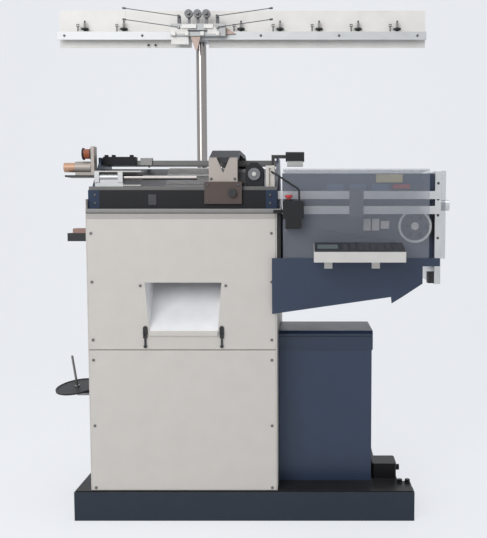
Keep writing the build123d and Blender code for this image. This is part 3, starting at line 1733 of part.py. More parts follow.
def make_tension_head():
    """Block clamped in front of the rail with guide blocks, lever uprights and lever pins."""
    x0, x1, z0, z1 = head_span()
    y0 = rack_y - head_depth
    head = block(x0, x1, y0 + head_clamp_wall, rack_y, z0, z1)
    for share in head_block_shares:
        x = x0 + share * head_width
        head += block(x - head_block_width / 4, x + head_block_width / 4, y0, y0 + head_clamp_wall, z0,
                      z0 + head_block_height)
    for x, y, z, side in lever_pivots():
        upright_z = z + lever_hub_radius
        half = lever_hub_radius
        if upright_z > z1:
            head += block(x - half, x + half, y + head_clamp_wall, rack_y, z1, upright_z)
        head += round_y(x, y + head_clamp_wall - lever_pin_length, y + head_clamp_wall, z, lever_pin_radius)
    return head


def make_lever(x, y, z, side):
    """Sensing lever: hub on its pin, thin wire outwards and a round tip."""
    y1 = y + lever_pin_length + slide_clearance
    y0 = y1 - lever_hub_width
    lever = Pos(0, 0, 0) * round_y(0, y0, y1, 0, lever_hub_radius)
    middle = (y0 + y1) / 2
    wire = round_x(0, lever_length, middle, 0, lever_wire_radius)
    wire += round_x(lever_length - lever_tip_length, lever_length, middle, 0, lever_tip_radius)
    lever += wire
    lever -= round_y(0, y0 - overrun, y1 + overrun, 0, lever_pin_radius + running_clearance)
    turn = -lever_angle if side > 0 else lever_angle - 180
    return Pos(x, 0, z) * Rot(0, turn, 0) * lever


def cone_frame():
    """Leaning frame of the cone holder."""
    return Pos(cone_x, cone_y, cone_z) * Rot(cone_front_angle, 0, 0) * Rot(0, -cone_left_angle, 0)


def make_yarn_disc():
    """Black dish with a low rim that a yarn cone stands on."""
    dish = Cylinder(cone_radius, cone_rim_height, align=(Align.CENTER, Align.CENTER, Align.MIN))
    well = Cylinder(cone_radius - cone_wall, cone_rim_height, align=(Align.CENTER, Align.CENTER, Align.MIN))
    dish -= Pos(0, 0, cone_wall) * well
    dish -= Cylinder(cone_collar_radius + slide_clearance, cone_rim_height * 2)
    return cone_frame() * dish


def make_spindle_arm():
    """Arm from the left side sheet with a hub under the dish and the spindle through it."""
    hub = Pos(0, 0, -cone_hub_height) * Cylinder(
        cone_hub_radius, cone_hub_height, align=(Align.CENTER, Align.CENTER, Align.MIN)
    )
    hub += Cylinder(cone_collar_radius, cone_collar_height, align=(Align.CENTER, Align.CENTER, Align.MIN))
    hub += Cylinder(spindle_radius, spindle_height, align=(Align.CENTER, Align.CENTER, Align.MIN))
    hub += Pos(0, 0, -cone_arm_drop) * Cylinder(
        cone_arm_radius, cone_arm_drop, align=(Align.CENTER, Align.CENTER, Align.MIN)
    )
    wall_x = cabinet_left - side_sheet
    arm = cone_frame() * hub
    arm += round_x(cone_x, wall_x, cone_y, cone_z - cone_arm_drop, cone_arm_radius)
    return arm + round_x(wall_x - cone_foot_wall, wall_x, cone_y, cone_z - cone_arm_drop, cone_foot_radius)


def make_side_switch():
    """Small black switch on the left side sheet with a rounded cap on top."""
    x1 = cabinet_left - side_sheet
    x0 = x1 - side_switch_reach
    y0 = front_y + side_switch_depth
    y1 = y0 + side_switch_width
    z0 = table_under - side_switch_drop
    z1 = z0 + side_switch_height
    cap = block(x0 + side_cap_inset, x1, y0, y1, z1, z1 + side_cap_height)
    cap = fillet(cap.faces().sort_by(Axis.Z)[-1].edges().filter_by(Axis.Y), side_cap_corner)
    return block(x0, x1, y0, y1, z0, z1) + cap


pieces = {
    "base_frame": make_base_frame(),
    "base_deck": make_base_deck(),
    "cabinet_frame": make_cabinet_frame(),
    "cabinet_panels": make_cabinet_panels(),
    "upper_front_panel": make_upper_front_panel(),
    "lower_front_panel": make_lower_front_panel(),
    "panel_screws": make_panel_screws(),
    "table_plate": make_table_plate(),
    "glove_chute": make_glove_chute(),
    "suction_blower": make_suction_blower(),
    "latch_keepers": make_latch_keepers(),
    "latch_lever_left": make_latch_lever(latch_places()[0]),
    "latch_lever_right": make_latch_lever(latch_places()[1]),
    "bed_bracket_left": make_bed_bracket_left(),
    "bed_bracket_right": make_bed_bracket_right(),
    "front_bed": make_front_bed(),
    "rear_bed": to_rear(make_front_bed()),
    "needles": make_needles(),
    "bed_beams": make_bed_beams(),
    "guide_rails": make_guide_rails(),
    "yarn_carrier": make_yarn_carrier(),
    "gripper_unit": make_gripper_unit(),
    "carriage_front": make_carriage_front(),
    "carriage_bridge": make_carriage_bridge(),
    "drive_link": make_drive_link(),
    "press_cylinder": make_press_cylinder(),
    "press_rod": make_press_rod(),
    "left_actuators": make_left_actuators(),
    "selector_housing": make_selector_housing(),
    "carrier_drive_block": make_carrier_drive_block(),
    "lamp_head": make_lamp_head(),
    "lamp_lens": make_lamp_lens(),
    "lamp_cable": make_lamp_cable(),
    "switch_box": make_switch_box(),
    "stop_button": make_stop_button(),
    "drive_pan": make_drive_pan(),
    "drive_back_plate": make_drive_back_plate(),
    "drive_end_plate": make_drive_end_plate(),
    "smoked_cover": make_smoked_cover(),
    "drive_motor": make_drive_motor(),
    "drive_wheel": make_drive_wheel(),
    "idler_wheel": make_idler_wheel(),
    "drive_belt": make_drive_belt(),
    "panel_case": make_panel_case(),
    "panel_face": make_panel_face(),
    "control_box_body": make_control_box_body(),
    "control_box_lid": make_control_box_lid(),
    "control_chassis": make_control_chassis(),
    "mast": make_mast(),
    "rack_rail": make_rack_rail(),
    "rack_board": make_rack_board(),
    "tension_posts": make_tension_posts(),
    "tension_head": make_tension_head(),
    "yarn_disc": make_yarn_disc(),
    "spindle_arm": make_spindle_arm(),
    "side_switch": make_side_switch(),
}
for number, pivot in enumerate(lever_pivots(), start=1):
    pieces[f"sensing_lever_{number}"] = make_lever(*pivot)

os.makedirs("parts", exist_ok=True)
for name, piece in pieces.items():
    export_step(piece, f"parts/{name}.step")
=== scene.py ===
from math import cos, pi, radians, sin

import bmesh
import bpy
from mathutils import Matrix, Vector


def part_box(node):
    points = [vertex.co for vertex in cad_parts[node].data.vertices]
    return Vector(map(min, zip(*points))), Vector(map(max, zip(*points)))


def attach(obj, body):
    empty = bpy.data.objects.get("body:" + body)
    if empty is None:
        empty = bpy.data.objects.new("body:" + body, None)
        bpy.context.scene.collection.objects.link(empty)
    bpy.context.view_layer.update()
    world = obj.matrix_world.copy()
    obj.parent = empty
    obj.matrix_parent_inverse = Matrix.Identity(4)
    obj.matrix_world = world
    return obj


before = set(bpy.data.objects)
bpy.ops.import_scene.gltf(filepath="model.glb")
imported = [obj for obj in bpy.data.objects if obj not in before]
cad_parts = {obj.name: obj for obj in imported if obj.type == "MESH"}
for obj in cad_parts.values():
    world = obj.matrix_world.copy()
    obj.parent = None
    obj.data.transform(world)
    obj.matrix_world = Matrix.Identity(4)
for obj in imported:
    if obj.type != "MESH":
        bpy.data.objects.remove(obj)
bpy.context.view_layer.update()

bl_info = {
    "name": "Flat Knitting Machine Dressing",
    "version": (1, 0, 0),
    "blender": (4, 5, 0),
    "location": "3D View > Sidebar > Knitting",
    "description": "Finishes and small trim for a flat knitting machine, with a plain studio stage",
    "category": "Object",
}

MACHINE = "machine"
MM = 0.001

# Slices of CAD nodes that have a finish of their own. A span in mm counts from the node's low side,
# or from its high side when it is negative, and an open end runs through.
# The panel lip is a darker band at the top of the upper front panel. It is the panel's folded lip, painted
# darker as the shade under the table's overhang.
SHADED_PANEL_LIP = {"z": (-18.5, None)}
BRACKET_SHELF = {"x": (None, 91.8), "z": (104.0, None)}
HEAD_RAILS = {"x": (None, 610.2)}
SELECTOR_BOSS = {"y": (None, 7.8)}
CYLINDER_TOP = {"z": (-4.2, None)}
DRIVE_BLOCK_ARM = {"z": (80.2, None)}
CARRIAGE_KNOB = {"y": (None, 11.8)}
CARRIAGE_CAMS = {"y": (40.0, None)}
BRIDGE_CROWN = {"y": (12.2, None)}
MOTOR_END = {"x": (None, 37.8), "z": (None, 47.0)}
COIL_FRAME = {"x": (None, 91.8), "z": (47.0, None)}
TERMINALS = {"x": (149.0, 355.0), "y": (None, 32.1), "z": (216.0, 248.0)}
LIMIT_SWITCH = {"x": (None, 19.8)}
WHEEL_HUB = {"x": (42.5, -42.5), "y": (None, 1.5), "z": (42.5, -42.5)}
WHEEL_RIM = {"y": (None, 1.5)}
PANEL_SCREEN = {"x": (9.5, 73.5), "y": (25.2, 73.2)}
PANEL_KEYS = {"x": (88.0, -14.0), "y": (14.0, -14.0)}
APRON_LEFT_END = {"x": (None, 36.0)}
APRON_RIGHT_END = {"x": (-36.0, None)}
TENSION_LOWER_GUIDES = {"y": (None, 9.8)}
TENSION_LEFT_FACE = {"x": (None, 62.0), "z": (8.0, 34.0)}
TENSION_RIGHT_FACE = {"x": (134.0, 169.0), "z": (8.0, 34.0)}
TENSION_GROOVE = {"x": (62.0, 134.0), "z": (15.0, 21.0)}
LEVER_UPRIGHTS = {"z": (44.2, None)}
SWITCH_CAP = {"z": (27.2, None)}

# Places and sizes of the trim in mm, measured from the node that carries it
COIL_SPAN = (66.0, 88.0)
COIL_DROP = 24.0
COIL_RADIUS = 15.0
END_SCREW_INSET = 30.0
END_SCREW_RISES = (153.0, 228.0, 281.0, 333.0)
POST_FIRST = 99.5
POST_PITCH = 144.2
POST_SLOTS = (0, 1, 4, 5, 6, 7, 8)
SPRING_RISE = 15.0
SPRING_RADIUS = 4.6
SPRING_PITCH = 2.2
SPRING_TURNS = 9
RAIL_SCREW_SHARES = (0.020, 0.231, 0.552, 0.764, 0.976)
EYELET_INSETS = (331.0, 357.0)
EYELET_RISE = 9.0
EYELET_SINK = 1.5
BACK_PLATE_DEPTH = 32.3
BACK_SCREW_SHARES = (0.06, 0.5, 0.93)
BACK_SCREW_RISES = (60.0, 271.0)
SKIRT_DEPTH = 12.0
SKIRT_SCREW_INSET = 11.0
SKIRT_SCREW_RISES = (10.0, 60.0)
BRIDGE_SCREW_INSET = 22.0
BRIDGE_SCREW_RISE = 80.0
KEY_COLUMNS = 8
KEY_ROWS = 4
KEY_SHARE = 0.78
APRON_SCREW_INSET = 22.0
APRON_SCREW_RISES = (18.0, 44.0)


def oblong(left, right, bottom, top):
    """Corners of a rectangle in X and Z."""
    return ((left, bottom), (right, bottom), (right, top), (left, top))


# Small plates in mm as an outline in X and Z, a near and a far depth, measured from the low corner
# of the node that carries them. The guide plates are two upper guides and the skirt below.
GUIDE_PLATES = (
    (oblong(42.0, 94.0, 26.0, 40.0), 2.0, 10.0),
    (oblong(122.0, 156.0, 26.0, 40.0), 2.0, 10.0),
    (oblong(0.0, 64.0, -28.0, 0.0), 17.0, 23.0),
)
TENSION_PLATES = (
    (((72.0, 0.0), (88.0, -48.0), (96.0, -48.0), (108.0, 0.0)), 15.0, 18.0),
    (((200.0, 10.0), (236.0, 12.0), (200.0, 34.0)), 27.0, 34.0),
)
DISC_COLUMNS = (66.0, 98.0, 130.0)
DISC_RISE = 80.0
DISC_DEPTH = 20.0
DISC_POST_HALF = 5.0
DISC_POST_SPAN = (44.0, 85.0)
DISC_POST_DEPTH = 26.0
DISC_SEGMENTS = 28
CYLINDER_TRAY = ((oblong(92.0, 150.0, 14.0, 18.0), 4.0, 28.0),)
APRON_PLATE = ((oblong(195.0, 221.0, 12.0, 46.0), -3.0, 0.0),)
SMALL_TERMINALS = (
    (oblong(272.0, 296.0, 92.0, 132.0), 16.3, BACK_PLATE_DEPTH),
    (oblong(301.0, 325.0, 92.0, 132.0), 16.3, BACK_PLATE_DEPTH),
    (oblong(330.0, 358.0, 98.0, 124.0), 16.3, BACK_PLATE_DEPTH),
)
RELAY = ((oblong(313.0, 401.0, 252.0, 279.0), 8.3, BACK_PLATE_DEPTH),)
LAMP_STRIP = ((oblong(370.0, 427.0, 232.0, 246.0), 22.3, BACK_PLATE_DEPTH),)
SELECTOR_CAP_PLACE = (29.0, 52.0)
SELECTOR_CAP_PROFILE = ((7.0, 0.0), (7.0, 2.0), (6.0, 3.0))
DISC_PROFILE = ((15.0, 0.0), (15.0, 3.0), (11.0, 4.2), (11.0, 7.8), (15.0, 9.0), (15.0, 12.0),
                (6.0, 12.2), (6.0, 21.0))
EYELET_SEGMENTS = 24
EYELET_PROFILE = ((8.0, 0.0), (8.6, 1.6), (8.0, 3.4), (6.4, 4.2), (4.8, 3.4), (4.2, 1.0))

# Stage in metres: the paper's front, start of its sweep, sweep radius, top and half width, and the lights
FLOOR_FRONT = -6.0
FLOOR_BACK = 2.2
FLOOR_SWEEP = 1.6
FLOOR_TOP = 7.0
FLOOR_HALF = 9.0
FLOOR_STEPS = 12
PAPER_ROUGHNESS = 0.9
GLOW_SHARE = 0.72
KEY_LIGHT_SIZE = 2.4
KEY_LIGHT_PLACE = (-1.6, -3.4, 2.6)
KEY_LIGHT_AIM = (0.0, 0.0, 0.85)
TOP_LIGHT_SIZE = 2.0
TOP_LIGHT_PLACE = (0.3, -0.4, 4.2)
TOP_LIGHT_AIM = (0.0, 0.0, 0.9)
AIR_COLOUR = (0.93, 0.96, 1.0, 1.0)

# Directions that the trim faces
RIGHT = (1, 0, 0)
FRONT = (0, -1, 0)
UP = (0, 0, 1)

# Grain of the finishes in mm, and their shared colours and gains
CLOUD_SIZE = 60.0
CLOUD_DETAIL = 4.0
GRAIN_DETAIL = 2.0
PATCH_SIZE = 12.0
EDGE_RADIUS = 1.2
EDGE_GAIN = 4.0
EDGE_SAMPLES = 4
SHEET_CLOUD_SIZE = 90.0
SHEET_SCRATCH_SIZE = 0.8
SHEET_SCRATCH_STRETCH = (0.04, 1, 1)
SHEET_SWING = 0.08
SHEET_ROUGHNESS = (0.06, 0.14)
SHEET_EDGE_RADIUS = 1.5
SHEET_EDGE_COVER = 0.3
DUST_COLOUR = (0.42, 0.41, 0.39)
WEAR_LIFT = 0.25
ROUGH_SWING = 0.15
GRAIN_SWING = 0.05
BUMP_STRENGTH = 0.6
UP_LIMIT = 0.8

# Shades of single pieces, as factors on the base colours
DECK_SHADE = 0.8
# The panel lip's factor is painted shade under the table's overhang, laid on the lip's own cream.
PANEL_LIP_PAINTED_SHADE = 0.7
TABLE_SHADE = 0.42
LATCH_SHADE = 0.5
PANEL_SCREW_SHADE = 0.3
NEEDLE_SHADE = 0.6
CARRIER_SHADE = 0.34
APRON_SHADE = 1.2
APRON_PLATE_SHADE = 2.6
HEAD_RAIL_SHADE = 0.24
SELECTOR_SHADE = 1.5
SELECTOR_BOSS_SHADE = 1.6
CYLINDER_SHADE = 0.55
CYLINDER_TOP_SHADE = 0.9
DRIVE_BLOCK_SHADE = 1.05
CAM_SHADE = 2.0
CROWN_SHADE = 2.4
COIL_FRAME_SHADE = 2.0
BACK_PLATE_SHADE = 1.3
TERMINAL_SHADE = 3.0
SMALL_TERMINAL_SHADE = 1.25
WHEEL_SHADE = 0.7
BELT_SHADE = 1.5
FILM_SHADE = 1.6
KEY_SHADE = 4.5
BOX_SHADE = 1.12
LID_SHADE = 0.95
CHASSIS_SHADE = 0.7
RACK_SHADE = 0.9
BOARD_SHADE = 1.28
TENSION_HEAD_SHADE = 0.62
TENSION_WHITE_SHADE = 1.25
TENSION_GROOVE_SHADE = 2.0
UPRIGHT_SHADE = 0.8
GUIDE_SHADE = 1.2
DISC_SHADE = 1.2
EYELET_SHADE = 1.3
SPINDLE_SHADE = 0.45

# Roughness and metallic of the finishes by place
MATT_PAINT = (0.5, 0.0)
SATIN_PAINT = (0.45, 0.0)
SMOOTH_PAINT = (0.4, 0.0)
GLAZED = (0.3, 0.0)
SCREEN_FILM = (0.12, 0.0)
EYE_SHADOW = (0.6, 0.0)
OILED_RAIL = (0.45, 0.7)
TURNED_STEEL = (0.4, 0.6)
CAM_STEEL = (0.5, 0.4)
CROWN_METAL = (0.5, 0.2)
MOTOR_ALLOY = (0.42, 0.3)
COIL_IRON = (0.5, 0.3)
RIM_ALLOY = (0.4, 0.5)

# Screw head as shares of its radius and height
SCREW_SEGMENTS = 18
SCREW_PROFILE_SHARES = ((1.0, 0.0), (1.0, 0.45), (0.86, 0.8), (0.6, 1.0), (0.45, 1.0), (0.414, 0.35))

# Finish kinds: metallic, roughness, size of the grain in mm, depth of the grain in mm,
# stretch of the grain along X, Y and Z, share of light and dark mottling, share of edge wear
KINDS = {
    "textured_paint": (0.0, 0.50, 1.1, 0.05, (1, 1, 1), 0.05, 0.10),
    "satin_paint": (0.0, 0.38, 1.6, 0.03, (1, 1, 1), 0.12, 0.30),
    "ground_steel": (1.0, 0.34, 0.6, 0.02, (0.03, 1, 1), 0.16, 0.20),
    "upright_steel": (1.0, 0.30, 0.6, 0.02, (1, 1, 0.03), 0.14, 0.20),
    "oiled_steel": (0.85, 0.42, 0.9, 0.02, (0.05, 1, 1), 0.30, 0.45),
    "chrome": (1.0, 0.10, 1.2, 0.004, (1, 1, 0.02), 0.06, 0.0),
    "cast_metal": (0.55, 0.50, 1.8, 0.12, (1, 1, 1), 0.16, 0.45),
    "matt_plastic": (0.0, 0.48, 0.5, 0.03, (1, 1, 1), 0.10, 0.15),
    "gloss_plastic": (0.0, 0.18, 2.0, 0.01, (1, 1, 1), 0.06, 0.05),
    "rubber": (0.0, 0.70, 0.8, 0.04, (1, 1, 1), 0.14, 0.10),
}


def colour_property(name, description, default):
    """Colour of a finish that a user would change."""
    return bpy.props.FloatVectorProperty(name=name, description=description, subtype="COLOR", default=default)


class KnittingFinishes(bpy.types.PropertyGroup):
    """Colours of the machine's finishes."""

    cream: colour_property("Cream", "Paint of the cabinet panels", (0.635, 0.598, 0.552))
    chute: colour_property("Chute", "Paint of the outlet chute", (0.88, 0.875, 0.88))
    navy: colour_property("Navy", "Paint of the arm and the control box", (0.0225, 0.0385, 0.0755))
    base: colour_property("Base", "Paint of the base frame", (0.017, 0.027, 0.043))
    black: colour_property("Black", "Black paint and plastic", (0.010, 0.010, 0.012))
    steel: colour_property("Steel", "Bare steel", (0.52, 0.51, 0.50))
    dark_steel: colour_property("Dark steel", "Oiled steel of the beds", (0.10, 0.10, 0.105))
    aluminium: colour_property("Aluminium", "Milled aluminium", (0.60, 0.61, 0.61))
    chrome: colour_property("Chrome", "Plated mast and rods", (0.30, 0.28, 0.27))
    casting: colour_property("Casting", "Castings of the carriage and the actuators", (0.36, 0.32, 0.29))
    taupe: colour_property("Taupe", "Front casting of the carriage", (0.080, 0.060, 0.053))
    white: colour_property("White", "White plastic", (0.66, 0.64, 0.61))
    copper: colour_property("Copper", "Windings of the coil", (0.42, 0.12, 0.045))
    beige: colour_property("Beige", "End of the small motor", (0.55, 0.33, 0.22))
    cap: colour_property("Cap", "Cap of the side switch", (0.30, 0.18, 0.15))
    straw: colour_property("Straw", "Relay under the clear cover", (0.62, 0.54, 0.28))
    gusset: colour_property("Gusset", "Gusset and wing of the tension head", (0.40, 0.31, 0.27))
    screen: colour_property("Screen", "Screen of the operation panel", (0.12, 0.15, 0.15))
    red: colour_property("Red", "Stop button and lamp strip", (0.52, 0.03, 0.025))
    smoke: colour_property("Smoke", "Tint of the clear cover", (0.31, 0.33, 0.38))
    smoke_cover: bpy.props.FloatProperty(
        name="Smoke cover", description="Share of the view that the clear cover hides", subtype="FACTOR",
        default=0.28, min=0.0, max=1.0)


class KnittingTrim(bpy.types.PropertyGroup):
    """Sizes of the small trim."""

    screw_radius: bpy.props.FloatProperty(
        name="Screw radius", description="Radius of a screw head", unit="LENGTH", default=4.5 * MM)
    screw_height: bpy.props.FloatProperty(
        name="Screw height", description="Height of a screw head", unit="LENGTH", default=2.5 * MM)
    wire_radius: bpy.props.FloatProperty(
        name="Wire radius", description="Wire of the coil and the springs", unit="LENGTH", default=0.8 * MM)


class KnittingStage(bpy.types.PropertyGroup):
    """Camera, lights and backdrop."""

    camera_place: bpy.props.FloatVectorProperty(
        name="Camera place", description="Where the camera stands", subtype="TRANSLATION", unit="LENGTH",
        default=(0.216, -2.572, 0.9993))
    camera_pitch: bpy.props.FloatProperty(
        name="Camera pitch", description="Tilt of the camera below level", subtype="ANGLE",
        default=radians(4.09))
    lens: bpy.props.FloatProperty(
        name="Lens", description="Focal length in millimetres", default=48.65)
    shift: bpy.props.FloatProperty(
        name="Shift", description="Sideways shift of the frame", default=-0.1236)
    backdrop: bpy.props.FloatVectorProperty(
        name="Backdrop", description="Colour of the floor and the backdrop", subtype="COLOR",
        default=(0.90, 0.92, 0.955))
    fill: bpy.props.FloatProperty(
        name="Fill", description="Strength of the light from all round", default=0.44, min=0.0)
    key: bpy.props.FloatProperty(
        name="Key", description="Power of the large front light", unit="POWER", default=66.0, min=0.0)
    top: bpy.props.FloatProperty(
        name="Top", description="Power of the overhead light", unit="POWER", default=38.0, min=0.0)


class Finish:
    """Node tree of one finish, built up step by step."""

    def __init__(self, name):
        self.material = bpy.data.materials.new(name)
        self.material.use_nodes = True
        self.tree = self.material.node_tree
        self.shader = self.tree.nodes["Principled BSDF"]
        self.place = self.add("ShaderNodeTexCoord").outputs["Object"]

    def add(self, kind, **settings):
        """New node with these settings."""
        node = self.tree.nodes.new(kind)
        for key, value in settings.items():
            setattr(node, key, value)
        return node

    def feed(self, socket, value):
        """Links the socket to another one, or sets its value."""
        if hasattr(value, "is_linked"):
            self.tree.links.new(value, socket)
        else:
            socket.default_value = value

    def math(self, operation, *values):
        """Result of a sum on numbers or sockets."""
        node = self.add("ShaderNodeMath", operation=operation)
        for socket, value in zip(node.inputs, values):
            self.feed(socket, value)
        return node.outputs[0]

    def noise(self, size, detail=3.0, stretch=(1, 1, 1)):
        """Noise with grains of this size in metres."""
        mapping = self.add("ShaderNodeMapping")
        self.tree.links.new(self.place, mapping.inputs["Vector"])
        mapping.inputs["Scale"].default_value = stretch
        node = self.add("ShaderNodeTexNoise")
        self.tree.links.new(mapping.outputs[0], node.inputs["Vector"])
        node.inputs["Scale"].default_value = 1 / size
        node.inputs["Detail"].default_value = detail
        return node.outputs["Fac"]

    def spread(self, value, low, high):
        """Value from 0 to 1, spread from low to high."""
        node = self.add("ShaderNodeMapRange")
        self.feed(node.inputs["Value"], value)
        node.inputs["To Min"].default_value = low
        node.inputs["To Max"].default_value = high
        return node.outputs[0]

    def blend(self, share, first, second):
        """Colour that goes from first to second with the share."""
        node = self.add("ShaderNodeMix", data_type="RGBA")
        for socket, value in zip((node.inputs[0], node.inputs[6], node.inputs[7]), (share, first, second)):
            if isinstance(value, (tuple, list)) and len(value) == 3:
                value = (*value, 1.0)
            self.feed(socket, value)
        return node.outputs[2]

    def zone(self, low, high):
        """1 inside a box of the machine's frame, given in mm, and 0 outside."""
        split = self.add("ShaderNodeSeparateXYZ")
        self.tree.links.new(self.place, split.inputs[0])
        inside = None
        for axis in range(3):
            middle = (low[axis] + high[axis]) / 2 * MM
            half = (high[axis] - low[axis]) / 2 * MM
            test = self.math("COMPARE", split.outputs[axis], middle, half)
            inside = test if inside is None else self.math("MULTIPLY", inside, test)
        return inside

    def keys(self, low, high, columns, rows, share):
        """1 on the keys of a grid in X and Y between two corners in mm, and 0 in the gaps."""
        split = self.add("ShaderNodeSeparateXYZ")
        self.tree.links.new(self.place, split.inputs[0])
        inside = self.zone(low, high)
        for axis, count in enumerate((columns, rows)):
            pitch = (high[axis] - low[axis]) / count * MM
            step = self.math("DIVIDE", self.math("SUBTRACT", split.outputs[axis], low[axis] * MM), pitch)
            inside = self.math("MULTIPLY", inside, self.math("LESS_THAN", self.math("FRACT", step), share))
        return inside

    def edges(self, radius):
        """1 on edges and 0 on flat faces."""
        soft = self.add("ShaderNodeBevel", samples=EDGE_SAMPLES)
        soft.inputs["Radius"].default_value = radius
        flat = self.add("ShaderNodeNewGeometry").outputs["True Normal"]
        dot = self.add("ShaderNodeVectorMath", operation="DOT_PRODUCT")
        self.tree.links.new(soft.outputs[0], dot.inputs[0])
        self.tree.links.new(flat, dot.inputs[1])
        bent = self.math("SUBTRACT", 1.0, dot.outputs["Value"])
        return self.math("MULTIPLY", bent, EDGE_GAIN), soft.outputs[0]

    def upward(self):
        """1 on faces that look up."""
        split = self.add("ShaderNodeSeparateXYZ")
        self.tree.links.new(self.add("ShaderNodeNewGeometry").outputs["Normal"], split.inputs[0])
        return self.math("GREATER_THAN", split.outputs[2], UP_LIMIT)


def tone(colour, factor):
    """Lighter or darker colour."""
    return tuple(min(1.0, channel * factor) for channel in colour)


def make_finish(name, kind, colour, zones=(), dust=0.0, shine=0.5, keypad=None):
    """Finish of a kind in a colour. Each zone is a box in mm with its own colour, roughness and metallic.
    A keypad is two corners in mm of a grid of keys, with its columns and rows and the keys' colour."""
    metallic, roughness, grain, depth, stretch, mottle, wear = KINDS[kind]
    colour = tuple(colour)
    made = Finish(name)
    cloud = made.noise(CLOUD_SIZE * MM, CLOUD_DETAIL)
    fine = made.noise(grain * MM, GRAIN_DETAIL, stretch)
    shade = made.blend(cloud, tone(colour, 1 - mottle), tone(colour, 1 + mottle))
    rough = made.spread(cloud, roughness * (1 - ROUGH_SWING), roughness * (1 + ROUGH_SWING))
    metal = metallic
    for low, high, zone_colour, zone_rough, zone_metal in zones:
        inside = made.zone(low, high)
        clouded = made.blend(cloud, tone(zone_colour, 1 - mottle), tone(zone_colour, 1 + mottle))
        shade = made.blend(inside, shade, clouded)
        rough = made.math("ADD", made.math("MULTIPLY", rough, made.math("SUBTRACT", 1.0, inside)),
                          made.math("MULTIPLY", inside, zone_rough))
        if zone_metal != metal or hasattr(metal, "is_linked"):
            metal = made.math("ADD", made.math("MULTIPLY", metal, made.math("SUBTRACT", 1.0, inside)),
                              made.math("MULTIPLY", inside, zone_metal))
    if keypad:
        low, high, columns, rows, key_colour = keypad
        shade = made.blend(made.keys(low, high, columns, rows, KEY_SHARE), shade, key_colour)
    worn, soft_normal = made.edges(EDGE_RADIUS * MM)
    if wear:
        patchy = made.math("MULTIPLY", made.math("MULTIPLY", worn, made.noise(PATCH_SIZE * MM)), wear)
        shade = made.blend(patchy, shade, tuple(min(1.0, WEAR_LIFT + channel) for channel in colour))
    if dust:
        laid = made.math("MULTIPLY", made.math("MULTIPLY", made.upward(), cloud), dust)
        shade = made.blend(laid, shade, DUST_COLOUR)
    bump = made.add("ShaderNodeBump")
    bump.inputs["Distance"].default_value = depth * MM
    bump.inputs["Strength"].default_value = BUMP_STRENGTH
    made.tree.links.new(fine, bump.inputs["Height"])
    made.tree.links.new(soft_normal, bump.inputs["Normal"])
    made.feed(made.shader.inputs["Base Color"], shade)
    grain_rough = made.spread(fine, -GRAIN_SWING, GRAIN_SWING)
    made.feed(made.shader.inputs["Roughness"], made.math("ADD", rough, grain_rough))
    made.feed(made.shader.inputs["Metallic"], metal)
    made.shader.inputs["Specular IOR Level"].default_value = shine
    made.tree.links.new(bump.outputs[0], made.shader.inputs["Normal"])
    return made.material


def clear_finish(name, colour, cover):
    """Clear tinted sheet with faint scratches."""
    made = Finish(name)
    less, more = 1 - SHEET_SWING, 1 + SHEET_SWING
    cloud = made.noise(SHEET_CLOUD_SIZE * MM)
    fine = made.noise(SHEET_SCRATCH_SIZE * MM, GRAIN_DETAIL, SHEET_SCRATCH_STRETCH)
    made.feed(made.shader.inputs["Base Color"], made.blend(cloud, tone(colour, less), tone(colour, more)))
    made.feed(made.shader.inputs["Roughness"], made.spread(fine, *SHEET_ROUGHNESS))
    worn, soft_normal = made.edges(SHEET_EDGE_RADIUS * MM)
    edge_cover = made.math("MULTIPLY", worn, SHEET_EDGE_COVER)
    alpha = made.math("ADD", made.spread(cloud, cover * less, cover * more), edge_cover)
    made.feed(made.shader.inputs["Alpha"], alpha)
    made.tree.links.new(soft_normal, made.shader.inputs["Normal"])
    return made.material


def part_of(node, spans):
    """Low and high corner in mm of a slice of a node's box."""
    corners = [[value / MM for value in corner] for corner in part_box(node)]
    slack = 1.0
    low, high = [], []
    for axis, bottom, top in zip("xyz", *corners):
        ends = [value if value is None or value > 0 else top - bottom + value
                for value in spans.get(axis, (None, None))]
        low.append(bottom - slack if ends[0] is None else bottom + ends[0])
        high.append(top + slack if ends[1] is None else bottom + ends[1])
    return low, high


def dress(material, *nodes):
    """Gives CAD nodes this finish."""
    for node in nodes:
        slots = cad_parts[node].data.materials
        slots.clear()
        slots.append(material)


def new_piece(name, mesh_data, material, body=MACHINE):
    """Object of a bmesh that rides on a body."""
    mesh = bpy.data.meshes.new(name)
    mesh_data.to_mesh(mesh)
    mesh_data.free()
    piece = bpy.data.objects.new(name, mesh)
    bpy.context.scene.collection.objects.link(piece)
    mesh.materials.append(material)
    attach(piece, body)


def in_metres(profile):
    """Profile of (radius, height) steps in mm, turned into metres."""
    return [(radius * MM, height * MM) for radius, height in profile]


def add_lathe(target, profile, matrix, segments=20):
    """Turned body from (radius, height) steps about the matrix's Z axis, closed at both ends."""
    rings = []
    for radius, height in profile:
        ring = [target.verts.new(matrix @ Vector((radius * cos(2 * pi * s / segments),
                                                  radius * sin(2 * pi * s / segments), height)))
                for s in range(segments)]
        rings.append(ring)
    for low, high in zip(rings, rings[1:]):
        for s in range(segments):
            target.faces.new((low[s], low[(s + 1) % segments], high[(s + 1) % segments], high[s]))
    target.faces.new(list(reversed(rings[0])))
    target.faces.new(rings[-1])


def add_plates(target, node, plates):
    """Plates with an outline in X and Z between two depths, in mm from the node's low corner."""
    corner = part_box(node)[0]
    for outline, near, far in plates:
        rings = [[target.verts.new(corner + Vector((x, y, z)) * MM) for x, z in outline] for y in (near, far)]
        count = len(outline)
        faces = [target.faces.new(ring) for ring in rings]
        for s in range(count):
            after = (s + 1) % count
            faces.append(target.faces.new((rings[0][s], rings[0][after], rings[1][after], rings[1][s])))
        bmesh.ops.recalc_face_normals(target, faces=faces)


def facing(place, direction):
    """Frame at a place whose Z axis looks along the direction."""
    return Matrix.Translation(place) @ Vector(direction).to_track_quat("Z", "Y").to_matrix().to_4x4()


